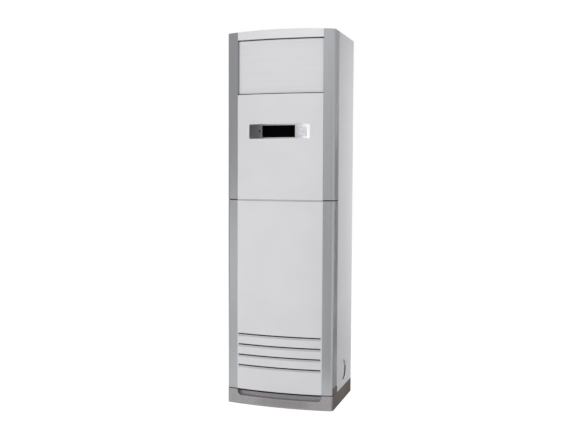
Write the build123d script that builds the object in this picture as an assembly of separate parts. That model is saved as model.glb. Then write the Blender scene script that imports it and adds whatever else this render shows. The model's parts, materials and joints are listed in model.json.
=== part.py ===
"""Floor standing air conditioner: a tall cabinet indoor unit.

The lower front draws air through four slots and a filter into a centrifugal blower.
The blower pushes it up through an inclined evaporator coil and out at the upper front,
past a row of tilting louvres and a row of turning vanes.  A door slides down behind the
display panel on two racks to open that outlet.

Frame: millimetres, +Z up, front towards -Y, +X to the viewer's right, origin on the
floor at the middle of the base.
"""
import os
from math import acos, cos, pi, radians, sin, sqrt, tan

from build123d import *

# ---------------------------------------------------------------- cabinet
width = 540.0
depth = 410.0
height = 1825.0
front_bow = 25.0          # how far the middle of the front stands before its corners
crown = 6.7               # how far the middle of the top stands above its corners
corner_radius = 14.0      # upright front corners
shell_wall = 2.5          # moulded plastic
sheet = 1.2               # folded steel sheet
seam = 0.5                # gap between neighbouring covers
post_width = 54.0         # silver corner post, seen from the front
post_depth = 101.0        # silver corner post, seen from the side
tray_depth = 9.0          # how deep the returns of the bowed front covers are
strip_setback = 0.5       # seam strip, behind the front covers
strip_gap = 0.6           # under the seam strip
lap_depth = 9.0           # tongue of each upper post, down behind the lower one
lap_thickness = 2.0

# ---------------------------------------------------------------- base
plinth_height = 72.0
plinth_wall = 3.0
plinth_ledge = 14.0       # inner ledge that the sheet panels stand on
plinth_ledge_thickness = 5.0
scoop_height = 29.0       # hand recess in the front of the plinth
scoop_depth = 20.0
scoop_radius = 20.0
ear_width = 38.0          # upstand of the plinth between post and side panel
ear_height = 30.0
pan_thickness = 2.0
anchor_spacing_x = 400.0
anchor_spacing_y = 290.0
anchor_hole = 5.5
pan_rim = 24.0
pan_setback = 40.0        # floor pan, behind the middle of the front

# ---------------------------------------------------------------- front covers, by height
foot_gap = 4.0            # plinth to lower panel
lower_top = 1010.0        # top of the lower posts
lower_panel_drop = 2.5    # lower panel ends this much below its posts
lower_seam = 5.0          # room for the lower section to tip forward under the upper one
top_bar_height = 43.0
outlet_height = 262.0     # between the display panel and the top bar
cover_flange = 23.0       # upright side flange of the top cover
slot_first = 195.8
slot_pitch = 51.73
slot_count = 4
slot_height = 5.5
slot_margin = 6.0         # panel left at each end of a slot
slope_height = 10.0       # face that leans inward under each slot
slope_depth = 4.0
slope_back = 3.0          # wall left under the lower edge of each slope
slope_turn = 12.0         # degrees each way about the axis of the bow
grip_low = 903.0
grip_high = 967.0
grip_width = 9.0
grip_back = 47.0          # finger grip, ahead of the rear edge of the post

# ---------------------------------------------------------------- display strip
strip_width = 305.0
strip_height = 70.0
strip_drop = 143.0        # below the upper edge of the display panel
strip_radius = 4.5
fit_gap = 0.3             # between pieces that drop into one another
bezel_plate = 2.7
bezel_flange = 5.0
bezel_flange_thickness = 1.8
window_left = -85.4
window_right = 80.8
window_margin = 6.0
window_radius = 3.0
button_x = -98.4
button_radius = 5.2
key_left = 106.0
key_right = 136.0
key_rise = 13.5           # above the lower edge of the strip
key_height = 18.0
key_pitch = 19.6
key_names = ("key_down", "key_up")
cap_flange = 1.4          # retaining rim behind each key and button
cap_flange_thickness = 1.0
board_back = 12.4         # front of the display board, behind the middle of the front
board_thickness = 1.6
board_left = -112.0
board_right = 142.0

# ---------------------------------------------------------------- hinge of the lower section
hinge_x = 75.0
hinge_depth = 9.0         # behind the middle of the front
hinge_rise = 3.0          # above the foot of the lower panel
hinge_pin = 2.0
hinge_arm = 6.0           # width of the arm that carries the pin
hinge_cheek = 3.0         # thickness of the two cheeks on the panel
hinge_side_gap = 2.0
hook_left = 110.0
hook_right = 140.0
hook_overlap = 8.0        # how far the hooks reach below the top of the plinth
hook_rise = 12.0

# ---------------------------------------------------------------- outlet door and its drive
door_recess = 16.0        # middle of the door, behind the middle of the front
door_bow = 14.0
door_gap = 2.5            # each side of the door
door_overlap = 21.0       # how far the closed door reaches below the outlet
door_top_gap = 4.0
door_wall = 3.0
door_rib = 4.0
door_travel = 255.0
gear_module = 1.5
gear_teeth = 20
gear_backlash = 0.2
gear_width = 8.0
rack_side_gap = 6.0       # from the outer face of each rack to the door's runner
rack_pitch_depth = 3.0    # pitch plane of the racks, behind the back of the door
shaft_rise = 8.0          # shaft above the lower edge of the closed door
door_shaft_radius = 3.0
running_fit = 0.05        # radial clearance of a shaft in its bore
runner_inset = 20.0       # web of each runner, inside the edge of the front covers
runner_wall = 3.0
runner_thickness = 5.4
runner_fit = 0.3
guide_wall = 2.0
guide_front_depth = 35.0  # behind the middle of the front
guide_width = 10.0
guide_spare = 4.0         # guide below the open door
seal_lip = 4.0            # how far each guide's lip reaches over the edge of the door
seal_thickness = 1.2
seal_gap = 2.5            # in front of the door's edge
gearmotor_radius = 25.0
gearmotor_length = 20.0

# ---------------------------------------------------------------- louvres and vanes
frame_front_depth = 55.0  # behind the middle of the front
frame_depth = 93.0
frame_foot = 6.0          # above the lower edge of the outlet
frame_head = 4.0          # below the upper edge of the outlet
frame_wall = 3.0
louvre_count = 5
louvre_chord = 44.0
louvre_thickness = 3.4
louvre_pivot_depth = 22.0 # behind the front of the frame
louvre_crank = 16.0
louvre_link_x = -60.0
vane_count = 5
vane_pitch = 80.0
vane_chord = 42.0
vane_thickness = 3.0
vane_pivot_depth = 68.0   # behind the front of the frame
vane_crank = 15.0
vane_link_rise = 48.0
blade_end_gap = 0.6
pivot_radius = 2.0
crank_radius = 1.5
link_thickness = 2.6
link_width = 7.0
notch_side_gap = 0.6
open_pivot_gap = 0.35     # extra room at the crank pins that are left open

# ---------------------------------------------------------------- blower
blower_x = -20.0
blower_z = 300.0
wheel_radius = 150.0
blade_inner_radius = 125.0
blade_count = 36
blade_thickness = 1.3
blade_sweep = 9.0         # degrees that a blade leans forward at its tip
wheel_width = 130.0
wheel_front_y = -115.0
wheel_plate = 2.0
wheel_hub_radius = 20.0
wheel_hub_length = 26.0
scroll_start_radius = 160.0
scroll_end_radius = 235.0
tongue_angle = 65.0
scroll_front_y = -131.0
scroll_back_y = 28.0
scroll_wall = 1.5
bell_radius = 132.0
bell_flare = 10.0
deck_z = 560.0
motor_shaft_radius = 6.0
motor_radius = 62.0
motor_length = 85.0
bracket_radius = 88.0
bracket_plate = 2.5
motor_opening = 72.0
cradle_half = 150.0
cradle_height = 200.0

# ---------------------------------------------------------------- bulkhead, filter, electrics
bulkhead_top = 1003.0
cross_rail_depth = 8.5    # ahead of the blower housing
cross_rail_height = 30.0
cross_rail_wall = 2.0
pocket_inset = 30.0       # pocket in the seam strip, from its ends
pocket_far = 22.0         # its front and rear, ahead of the cross rail
pocket_near = 6.0
post_lip = 14.0           # inward lip along the rear edge of each post
inlet_radius = 152.0
filter_half = 208.0
filter_low = 130.0
filter_high = 415.0
filter_front_depth = 31.0 # behind the middle of the front
filter_thickness = 6.0
filter_border = 14.0
filter_bar = 4.0
filter_columns = 6
filter_rows = 4
rail_wall = 2.0
rail_top = 640.0
box_half = 190.0
box_front_depth = 21.0    # behind the middle of the front
box_low = 650.0
box_high = 900.0

main_board_left = -60.0
main_board_side_gap = 15.0
main_board_end_gap = 20.0
main_board_standoff = 9.0
main_board_thickness = 1.6
board_seat = 1.0          # the parts reach this far into the board
transformer_inset = 20.0
transformer_width = 45.0
transformer_height = 50.0
transformer_room = 8.6    # from the face of the box
relay_left = 100.0
relay_width = 18.0
relay_depth = 16.0
relay_rise = 30.0
relay_height = 30.0
relay_pitch = 30.0
processor_left = 80.0
processor_width = 40.0
processor_depth = 4.0
processor_height = 30.0
processor_drop = 70.0
capacitor_radius = 12.0
capacitor_inset = 45.0
capacitor_rise = 50.0
capacitor_room = 12.6     # from the face of the box
terminal_left = -170.0
terminal_rise = 25.0
terminal_size = 30.0
terminal_depth = 22.0
terminal_wall = 4.0
terminal_pitch = 16.0
terminal_cell = 10.0
terminal_count = 5
terminal_screw = 3.5

# ---------------------------------------------------------------- coil and drain pan
coil_low_y = -75.0
coil_low_z = 735.0
coil_tilt = 18.2          # degrees back from upright
coil_length = 720.0
coil_thickness = 50.0
fin_grooves = 40
fin_groove = 2.0
fin_groove_depth = 3.0
flange_start = 32.0       # end plate flanges start above the drain pan
row_spacing = 25.0
bend_pitch = 75.0
bend_count = 9
coil_tube_radius = 4.76
gas_tube_radius = 9.53
liner_thickness = 23.5
header_room = 40.0        # from coil to liner
liner_front_y = -100.0
pan_drop = 23.0           # below the low end of the coil
pan_depth = 40.0
pan_reach = 53.0          # behind the low end of the coil
pan_wall = 2.0
spout_radius = 10.0
spout_length = 30.0
spout_inset = 30.0
header_gap = 10.5         # from the header's axis to the liner
header_across = 12.0
header_low = 200.0        # along the coil
header_high = 640.0
union_low_gas = 200.0
union_low_liquid = 230.0
union_length = 26.0
gas_thread_radius = 13.5
gas_hexagon = 18.0
liquid_hexagon = 11.0
gas_thread_length = 16.0
liquid_thread_radius = 7.94
liquid_thread_length = 13.0
liquid_back_gap = 35.0    # liquid pipe, ahead of the back
liquid_end_inset = 30.0   # its entry, below the upper end of the coil

# ---------------------------------------------------------------- side and rear details
knockout_y = 32.0
knockout_z = 155.0
knockout_radius = 53.0
knockout_recess = 5.0     # how far its plate lies behind the side panel
grommet_wall = 3.0
grommet_depth = 7.2
grommet_flange = 3.0
wall_hole_spacing = 300.0
wall_hole_drop = 85.0
wall_hole_radius = 4.25
screw_radius = 3.6
screw_head = 1.4
screw_shank = 2.0
screw_length = 6.0
screw_rows = 5
screw_inset = 8.0
bead_first = 250.0        # middle of the lowest bead of the rear panel
bead_pitch = 300.0
panel_fold = 15.0

# ---------------------------------------------------------------- derived places
front_y = -depth / 2
back_y = depth / 2
rear_face = back_y - screw_head
side_x = width / 2
outlet_high = height - top_bar_height
outlet_low = outlet_high - outlet_height
strip_high = outlet_low - strip_drop
strip_low = strip_high - strip_height
key_low = strip_low + key_rise
wall_hole_z = height - wall_hole_drop
post_back_y = front_y + post_depth
panel_half = side_x - post_width
panel_foot = plinth_height + foot_gap
upper_foot = lower_top + lower_seam
panel_top = height - cover_flange - crown - seam
lower_panel_top = lower_top - lower_panel_drop
crown_radius = (side_x**2 + crown**2) / (2 * crown)
bow_radius = (side_x**2 + front_bow**2) / (2 * front_bow)
hinge_y = front_y + hinge_depth
hinge_z = panel_foot + hinge_rise
door_low = outlet_low - door_overlap
door_high = outlet_high - door_top_gap
door_half = panel_half - door_gap
door_bow_radius = (door_half**2 + door_bow**2) / (2 * door_bow)
door_back_y = front_y + door_recess + door_bow + door_wall
runner_x = panel_half - runner_inset
rack_outside = runner_x - rack_side_gap
rack_pitch_y = door_back_y + rack_pitch_depth
guide_front_y = front_y + guide_front_depth
frame_front_y = front_y + frame_front_depth
frame_back_y = frame_front_y + frame_depth
louvre_pivot_y = frame_front_y + louvre_pivot_depth
vane_pivot_y = frame_front_y + vane_pivot_depth
filter_front_y = front_y + filter_front_depth
box_front_y = front_y + box_front_depth
pinion_radius = gear_module * gear_teeth / 2
shaft_y = rack_pitch_y + pinion_radius
shaft_z = door_low + shaft_rise
frame_low = outlet_low + frame_foot
frame_high = outlet_high - frame_head
guide_low = door_low - door_travel - guide_spare
guide_high = frame_high
louvre_pitch = (frame_high - frame_low) / (louvre_count + 0.25)
vane_link_z = frame_low + vane_link_rise
frame_half = panel_half
frame_inner = frame_half - frame_wall
wheel_back_y = wheel_front_y + wheel_width
motor_front_y = scroll_back_y + bracket_plate
tongue_x = blower_x + scroll_start_radius * cos(radians(tongue_angle))
scroll_right_x = blower_x + scroll_end_radius
bulkhead_y = scroll_front_y - sheet
bulkhead_half = side_x - post_lip - 2 * seam
liner_back_y = rear_face - screw_length - 3 * seam
liner_outside = side_x - sheet - fit_gap
liner_x = liner_outside - liner_thickness
coil_half = liner_x - header_room
header_x = liner_x - header_gap
liquid_y = back_y - liquid_back_gap
pan_low = coil_low_z - pan_drop
pan_high = pan_low + pan_depth
pan_back_y = coil_low_y + pan_reach
coil_run = (sin(radians(coil_tilt)), cos(radians(coil_tilt)))


# ================================================================ helpers
def block(x0, x1, y0, y1, z0, z1):
    """A box given by two opposite corners."""
    return Pos((x0 + x1) / 2, (y0 + y1) / 2, (z0 + z1) / 2) * Box(x1 - x0, y1 - y0, z1 - z0)


def rod(radius, start, end):
    """A round bar between two points that share two coordinates."""
    start, end = Vector(*start), Vector(*end)
    plane = Plane(origin=start, z_dir=end - start)
    return extrude(plane * Circle(radius), amount=(end - start).length)


def bow_y(x):
    """Front surface of the cabinet at a distance x from the middle."""
    return front_y + bow_radius - sqrt(bow_radius**2 - x**2)


def plan(inset=0.0):
    """Cabinet outline from above, drawn in by inset: bowed front, square back."""
    half = side_x - inset
    shoulder = front_y + front_bow + inset
    back = back_y - inset
    front = ThreePointArc((-half, shoulder), (0, front_y + inset), (half, shoulder))
    rest = Polyline((half, shoulder), (half, back), (-half, back), (-half, shoulder))
    face = make_face(front + rest)
    corners = face.vertices().sort_by(Axis.Y)[:2]
    return fillet(corners, max(corner_radius - inset, 1.0))


def tower(face, low, high):
    """A plan outline carried up from one height to another."""
    return extrude(Pos(0, 0, low) * face, amount=high - low, dir=(0, 0, 1))


def under_crown(drop=0.0):
    """Everything below the crowned top surface, lowered by drop."""
    reach = side_x + 10
    top = height - drop
    edge = top - crown_radius + sqrt(crown_radius**2 - reach**2)
    arc = ThreePointArc((-reach, 0, edge), (0, 0, top), (reach, 0, edge))
    rest = Polyline((reach, 0, edge), (reach, 0, 0), (-reach, 0, 0), (-reach, 0, edge))
    return extrude(make_face(arc + rest), amount=depth, both=True)


def front_band(near, far, low, high):
    """The layer of the bowed front between two depths, and between two heights."""
    layer = tower(plan(near), low, high) - tower(plan(far), low - 1, high + 1)
    return layer & block(-side_x, side_x, front_y - 1, post_back_y, low, high)


def front_tray(half, low, high):
    """A bowed front cover with returned edges, open at the back."""
    body = front_band(0, tray_depth, low, high) & block(-half, half, front_y, 0, low, high)
    inside = half - shell_wall
    core = tower(plan(shell_wall), low + shell_wall, high - shell_wall)
    return body - (core & block(-inside, inside, front_y, 0, low, high))


def rounded_bar(left, right, low, high, radius, near=10.0, far=80.0):
    """A rounded rectangle seen from the front, carried from before the front backwards."""
    plane = Plane(origin=((left + right) / 2, front_y - near, (low + high) / 2), z_dir=(0, 1, 0),
                  x_dir=(1, 0, 0))
    return extrude(plane * RectangleRounded(right - left, high - low, radius), amount=near + far)


def mirrored(shape):
    """The same piece on the other side of the cabinet."""
    return mirror(shape, about=Plane.YZ)


def pair(shape):
    """A right-hand piece and its left-hand twin, in one node."""
    return Compound(children=[shape, mirrored(shape)])


def save(name, shape):
    """Write one named piece."""
    export_step(shape, "parts/" + name + ".step")


# ================================================================ base
def scoop(margin, high):
    """Space of the hand recess in the plinth, grown by margin, open at its top."""
    half = panel_half - 2 + margin
    low = plinth_height - scoop_height - margin
    return rounded_bar(-half, half, low, high + scoop_radius, scoop_radius)


def base_plinth():
    """Moulded skirt with a hand recess, an inner ledge and two upstanding ears."""
    skirt = tower(plan(), 0, plinth_height) - tower(plan(plinth_wall), -1, plinth_height + 1)
    ledge_low = plinth_height - plinth_ledge_thickness
    ledge = tower(plan(plinth_wall), ledge_low, plinth_height) - tower(
        plan(plinth_wall + plinth_ledge), ledge_low - 1, plinth_height + 1)
    ledge &= block(-side_x, side_x, post_back_y, back_y, ledge_low, plinth_height)
    lining = front_band(0, scoop_depth + plinth_wall, 0, plinth_height)
    lining &= scoop(plinth_wall, plinth_height)
    recess = tower(plan(-1), 0, plinth_height + 1) - tower(plan(scoop_depth), 0, plinth_height + 1)
    recess &= scoop(0, plinth_height)
    ear_front = post_back_y - ear_width + 10
    ear = block(side_x - shell_wall, side_x, ear_front, ear_front + ear_width,
                plinth_height - plinth_ledge_thickness, plinth_height + ear_height)
    side = ear + hinge_peg()
    return skirt + ledge + lining - recess + side + mirrored(side)


def hinge_peg():
    """Arm over the hand recess with the peg that one side of the lower section turns on."""
    arm_low = plinth_height - 0.4
    half = hinge_arm / 2
    back = bow_y(hinge_x) + scoop_depth + plinth_wall
    arm = block(hinge_x - half, hinge_x + half, hinge_y - hinge_pin, back, arm_low, panel_foot - 1)
    neck = block(hinge_x - half, hinge_x + half, hinge_y - hinge_pin, hinge_y + hinge_pin, arm_low,
                 hinge_z)
    reach = half + hinge_side_gap + hinge_cheek
    peg = rod(hinge_pin, (hinge_x - reach, hinge_y, hinge_z), (hinge_x + reach, hinge_y, hinge_z))
    return arm + neck + peg


def base_pan():
    """Steel floor pan with an upturned rim and four holes for floor anchors."""
    rim = plinth_wall + fit_gap
    tray = tower(plan(rim), 0, pan_rim) - tower(plan(rim + pan_thickness), pan_thickness, pan_rim + 1)
    tray &= block(-side_x, side_x, front_y + pan_setback, back_y, 0, pan_rim)
    holes = [
        rod(anchor_hole, (x, y, -1), (x, y, pan_thickness + 1))
        for x in (-anchor_spacing_x / 2, anchor_spacing_x / 2)
        for y in (-anchor_spacing_y / 2, anchor_spacing_y / 2)
    ]
    return tray - holes


# ================================================================ sheet panels
def side_panel():
    """Right side sheet with folded edges, notched over the ear of the plinth."""
    front = post_back_y + seam
    back = rear_face - sheet
    top = panel_top
    fold = panel_fold
    skin = block(side_x - sheet, side_x, front, back, plinth_height, top)
    folds = block(side_x - fold, side_x, front, front + sheet, plinth_height, top)
    folds += block(side_x - fold, side_x, back - sheet, back, plinth_height, top)
    folds += block(side_x - fold, side_x, front, back, plinth_height, plinth_height + sheet)
    notch = block(side_x - shell_wall - seam, side_x + 1, front - 1, post_back_y + 10 + seam,
                  plinth_height - 1, plinth_height + ear_height + seam)
    return skin + folds - notch - screw_bores()


def screw_places():
    """Places of the right-hand screws that hold the rear panel."""
    low = plinth_height + 40
    rise = (panel_top - 40 - low) / (screw_rows - 1)
    return [(side_x - screw_inset, low + row * rise) for row in range(screw_rows)]


def screw_bores():
    """Clearance holes for the right-hand screws, through both sheets."""
    bores = [
        rod(screw_shank + 0.1, (x, rear_face - screw_length - 1, z), (x, rear_face + 1, z))
        for x, z in screw_places()
    ]
    return Compound(children=bores)


def panel_screws():
    """Pan head screws that hold the rear panel to both side panels."""
    screws = []
    for x, z in screw_places():
        head = rod(screw_radius, (x, rear_face, z), (x, back_y, z))
        head = fillet(head.edges().group_by(Axis.Y)[-1], screw_head * 0.6)
        head -= rod(screw_radius * 0.4, (x, back_y - screw_head * 0.6, z), (x, back_y + 1, z))
        screws.append(head + rod(screw_shank, (x, rear_face - screw_length, z), (x, rear_face + 0.5, z)))
    return Compound(children=screws + [mirrored(screw) for screw in screws])


def knockout_disc(radius, outer, inner):
    """A disc at the pipe outlet, between two depths behind the right side panel's surface."""
    return rod(radius, (side_x - inner, knockout_y, knockout_z), (side_x - outer, knockout_y, knockout_z))


def right_side_panel():
    """Right side sheet with the pipe outlet hole."""
    return side_panel() - knockout_disc(knockout_radius, -1, grommet_depth)


def knockout_plate():
    """Grommet in the pipe outlet with its recessed plate, cut out when pipes leave there."""
    outside = knockout_radius - fit_gap / 2
    inside = outside - grommet_wall
    flange_start = sheet + fit_gap / 2
    ring = knockout_disc(outside, 0, grommet_depth) - knockout_disc(inside, -1, grommet_depth + 1)
    flange = knockout_disc(outside + grommet_flange, flange_start, flange_start + sheet)
    flange -= knockout_disc(inside, 0, grommet_depth)
    plate = knockout_disc(inside + 1, knockout_recess, knockout_recess + sheet)
    return ring + flange + plate


def rear_panel():
    """Rear sheet with pressed beads and two holes for a wall tie."""
    skin = block(-side_x, side_x, rear_face - sheet, rear_face, plinth_height, panel_top)
    bead_half = side_x - 60
    for place in range(5):
        z = bead_first + place * bead_pitch
        bead = block(-bead_half, bead_half, rear_face - sheet - 3, rear_face - sheet, z - 14, z + 14)
        bead = chamfer(bead.edges().filter_by(Axis.X).group_by(Axis.Y)[0], 2.5)
        groove = block(-bead_half + 3, bead_half - 3, rear_face - 3, rear_face + 1, z - 10, z + 10)
        skin = skin + bead - groove
    holes = [
        rod(wall_hole_radius, (x, rear_face - 10, wall_hole_z), (x, rear_face + 1, wall_hole_z))
        for x in (-wall_hole_spacing / 2, wall_hole_spacing / 2)
    ]
    return skin - holes - screw_bores() - mirrored(screw_bores())


def top_region(inset):
    """Plan of the top cover: full width behind the posts, narrower up to the top bar."""
    wide = block(-side_x + inset, side_x - inset, post_back_y + seam + inset, back_y - inset, 0, height)
    bar = bar_back_y() + seam
    tongue = block(-panel_half + seam + inset, panel_half - seam - inset, bar + inset,
                   post_back_y + 2 * inset + 1, 0, height)
    return wide + tongue


def bar_back_y():
    """Back of the top bar."""
    return bow_y(panel_half) + 18


def top_cover():
    """Crowned lid with side and rear flanges."""
    low = height - cover_flange - crown
    outer = (top_region(0) & under_crown()) & block(-side_x, side_x, front_y, back_y, low, height)
    core = (top_region(shell_wall) & under_crown(shell_wall)) & block(
        -side_x, side_x, front_y, back_y, low - 1, height)
    return outer - core


def top_bar():
    """Bowed bar over the outlet, between the two posts."""
    half = panel_half - seam
    region = block(-half, half, front_y - 1, bar_back_y(), outlet_high, height)
    body = tower(plan(), outlet_high, height + 1) & region & under_crown()
    core_region = block(-half + shell_wall, half - shell_wall, front_y - 1, bar_back_y() + 1,
                        outlet_high + shell_wall, height)
    core = tower(plan(shell_wall), outlet_high, height + 1) & core_region & under_crown(shell_wall)
    return body - core


# ================================================================ corner posts
def post(low, high, return_back, lip_drop=0.0):
    """Right corner post: front, rounded corner, flank, inner return and rear lip."""
    region = block(panel_half, side_x + 1, front_y - 1, post_back_y, low, high)
    body = tower(plan(), low, high) & region
    core = tower(plan(shell_wall), low - 1, high + 1)
    core &= block(panel_half + shell_wall, side_x, front_y, post_back_y + 1, low - 1, high + 1)
    behind = block(panel_half - 1, panel_half + shell_wall + 1, return_back, post_back_y + 1,
                   low - 1, high + 1)
    lip = block(side_x - post_lip, side_x - shell_wall, post_back_y - shell_wall, post_back_y, low,
                high - lip_drop)
    return body - core - behind + lip


def lap_tongue():
    """Tongue inside the foot of the right upper post that closes the seam below it."""
    near = shell_wall + fit_gap
    tongue = tower(plan(near), lower_top - lap_depth + lower_seam, upper_foot + 1)
    tongue += tower(plan(shell_wall - 0.5), upper_foot, upper_foot + lap_depth)
    tongue -= tower(plan(near + lap_thickness), bulkhead_top, upper_foot + lap_depth + 1)
    left = panel_half + shell_wall + fit_gap
    back = post_back_y - shell_wall - fit_gap
    return tongue & block(left, side_x, front_y, back, bulkhead_top, upper_foot + lap_depth)


def upper_post():
    """Right upper post, closed at its top under the crown and pierced for the door shaft."""
    body = post(upper_foot, height + 1, frame_front_y + 10) & under_crown()
    cap = tower(plan(), height - crown - 10, height + 1)
    cap &= block(panel_half, side_x, front_y, post_back_y, height - crown - 10, height)
    cap = (cap & under_crown()) - under_crown(shell_wall)
    hole = rod(gear_width, (panel_half - 2, shaft_y, shaft_z), (panel_half + 5, shaft_y, shaft_z))
    return body + cap + lap_tongue() - hole


def lower_post():
    """Right lower post with its finger grip, notched over the ear of the plinth."""
    body = post(panel_foot, lower_top, bow_y(panel_half) + tray_depth, 2 * lap_depth)
    ear_front = post_back_y - ear_width + 10
    notch = block(side_x - 20, side_x + 1, ear_front - 2, post_back_y + 1, panel_foot - 1,
                  plinth_height + ear_height + 3)
    grip_y = post_back_y - grip_back
    grip = block(side_x - 5, side_x + 1, grip_y - grip_width, grip_y, grip_low, grip_high)
    return body - notch - grip


# ================================================================ front covers
def lower_panel():
    """Bowed intake panel: four slots, each over a leaning face, and two hooks below."""
    panel = front_tray(panel_half, panel_foot, lower_panel_top)
    half = panel_half - slot_margin
    for index in range(slot_count):
        z = slot_first + index * slot_pitch
        lip = z - slot_height / 2
        low = lip - slope_height
        backing = front_band(shell_wall - 0.5, slope_depth + shell_wall, low - slope_back, lip)
        backing &= block(-half - slope_back, half + slope_back, front_y, post_back_y,
                         low - slope_back, lip)
        slot = front_band(-1, tray_depth + 1, lip, z + slot_height / 2)
        gap = block(-half, half, front_y - 2, post_back_y, low, z + slot_height)
        panel = panel + backing - (slot & gap) - (slope_cut(lip) & gap)
    hook_near = scoop_depth + plinth_wall + fit_gap + 0.5
    hook_low = plinth_height - hook_overlap
    hook_high = panel_foot + hook_rise
    hook = front_band(hook_near, hook_near + shell_wall, hook_low, hook_high)
    hook &= block(hook_left, hook_right, front_y, 0, hook_low, hook_high)
    shelf = front_band(tray_depth - 1, hook_near + 0.5, panel_foot, panel_foot + shell_wall)
    shelf &= block(hook_left, hook_right, front_y, 0, 0, height)
    lug = hook + shelf + hinge_cheeks()
    notch = hinge_notch()
    return panel + lug + mirrored(lug) - notch - mirrored(notch)


def slope_cut(top):
    """Wedge turned about the axis of the bow: flush at its top, deepest at its lower edge."""
    low = top - slope_height
    corners = [(front_y - 1, top), (front_y, top), (front_y + slope_depth, low), (front_y - 1, low)]
    profile = Plane.YZ * make_face(Polyline(*corners, close=True))
    axis = Axis((0, front_y + bow_radius, 0), (0, 0, 1))
    return revolve(profile.rotate(axis, -slope_turn), axis, revolution_arc=2 * slope_turn)


def hinge_notch():
    """Opening in the panel's lower return for the hinge arm, and the bore for its peg."""
    half = hinge_arm / 2 + hinge_side_gap
    arm_room = block(hinge_x - half, hinge_x + half, bow_y(hinge_x) + shell_wall,
                     front_y + 2 * tray_depth, panel_foot - 1, panel_foot + shell_wall + 1)
    reach = half + hinge_cheek + 1
    bore = rod(hinge_pin + running_fit, (hinge_x - reach, hinge_y, hinge_z),
               (hinge_x + reach, hinge_y, hinge_z))
    return arm_room + bore


def hinge_cheeks():
    """Two cheeks inside the lower panel that turn on the peg."""
    half = hinge_arm / 2 + hinge_side_gap
    cheeks = block(hinge_x - half - hinge_cheek, hinge_x + half + hinge_cheek,
                   bow_y(hinge_x) + shell_wall - 1, front_y + tray_depth + hinge_pin + 2, panel_foot,
                   hinge_z + hinge_pin + 4)
    return cheeks - block(hinge_x - half, hinge_x + half, front_y, 0, panel_foot - 1, upper_foot)


def display_panel():
    """Bowed panel between the seam and the outlet, with the hole for the display strip."""
    panel = front_tray(panel_half - seam, upper_foot, outlet_low)
    half = strip_width / 2
    return panel - rounded_bar(-half, half, strip_low, strip_high, strip_radius)


def mid_rail():
    """Cross rail between the sections, with the thin strip that shows in the seam."""
    low = lower_panel_top + strip_gap
    half = panel_half - seam
    channel_front = scroll_front_y - cross_rail_depth
    strip = tower(plan(strip_setback), low, upper_foot)
    strip &= block(-half, half, front_y, channel_front, low, upper_foot)
    rail = block(-bulkhead_half, bulkhead_half, channel_front, scroll_front_y, bulkhead_top,
                 bulkhead_top + cross_rail_height)
    hollow = block(-bulkhead_half - 1, bulkhead_half + 1, channel_front + cross_rail_wall,
                   scroll_front_y + 1, bulkhead_top + cross_rail_wall,
                   bulkhead_top + cross_rail_height - cross_rail_wall)
    lightening = block(-half + pocket_inset, half - pocket_inset, channel_front - pocket_far,
                       channel_front - pocket_near, low - 1, upper_foot + 1)
    return strip - lightening + (rail - hollow)


# ================================================================ display strip
def band_piece(near, far, left, right, low, high, radius):
    """A curved plate that follows the front between two depths, with rounded corners."""
    return front_band(near, far, low, high) & rounded_bar(left, right, low, high, radius)


def key_low_edge(index):
    """Lower edge of a key."""
    return key_low + index * key_pitch


def display_bezel():
    """Bright strip round the display: openings for window, button and keys, rim behind."""
    half = strip_width / 2 - fit_gap / 2
    low = strip_low + fit_gap / 2
    high = strip_high - fit_gap / 2
    face_back = fit_gap + bezel_plate
    plate = band_piece(fit_gap, face_back, -half, half, low, high, strip_radius)
    rim_near = shell_wall
    rim_far = rim_near + bezel_flange_thickness
    rim = band_piece(rim_near, rim_far, -half - bezel_flange, half + bezel_flange,
                     low - bezel_flange, high + bezel_flange, strip_radius)
    rim -= rounded_bar(-half + 4, half - 4, low + 4, high - 4, strip_radius)
    post_y = front_y + board_back
    posts = []
    for x in (board_left + 6, board_right - 6):
        for z in (low - bezel_flange / 2, high + bezel_flange / 2):
            posts.append(rod(2.2, (x, bow_y(x) + rim_near + 0.5, z), (x, post_y, z)))
    body = plate + rim + posts
    body -= rounded_bar(window_left, window_right, strip_low + window_margin,
                        strip_high - window_margin, window_radius)
    middle = (strip_low + strip_high) / 2
    body -= rod(button_radius + fit_gap, (button_x, front_y - 5, middle), (button_x, front_y + 20, middle))
    for index in range(len(key_names)):
        z = key_low_edge(index)
        body -= rounded_bar(key_left - fit_gap, key_right + fit_gap, z - fit_gap,
                            z + key_height + fit_gap, 2.0)
    return body


def display_window():
    """Dark window with a retaining rim behind the bezel."""
    low = strip_low + window_margin + 0.1
    high = strip_high - window_margin - 0.1
    left = window_left + 0.1
    right = window_right - 0.1
    back = fit_gap + bezel_plate
    pane = band_piece(fit_gap + 0.3, back, left, right, low, high, window_radius)
    rim = band_piece(back, back + 1.4, left - 2, right + 2, low - 1.5, high + 1.5, window_radius)
    return pane + rim


def display_board():
    """Circuit board behind the display, screwed to the posts of the bezel."""
    low = strip_low - bezel_flange
    high = strip_high + bezel_flange
    near = front_y + board_back
    return block(board_left, board_right, near, near + board_thickness, low, high)


def cap_back():
    """Depth at which a cap's retaining rim starts, just behind the bezel."""
    return fit_gap + bezel_plate + fit_gap


def power_button():
    """Round push button with a retaining rim behind the bezel."""
    middle = (strip_low + strip_high) / 2
    start = cap_back()
    shape = front_band(0.1, start, strip_low, strip_high) & rod(
        button_radius, (button_x, front_y - 5, middle), (button_x, front_y + 30, middle))
    rim = front_band(start, start + cap_flange_thickness, strip_low, strip_high) & rod(
        button_radius + cap_flange, (button_x, front_y - 5, middle), (button_x, front_y + 30, middle))
    return shape + rim


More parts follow.
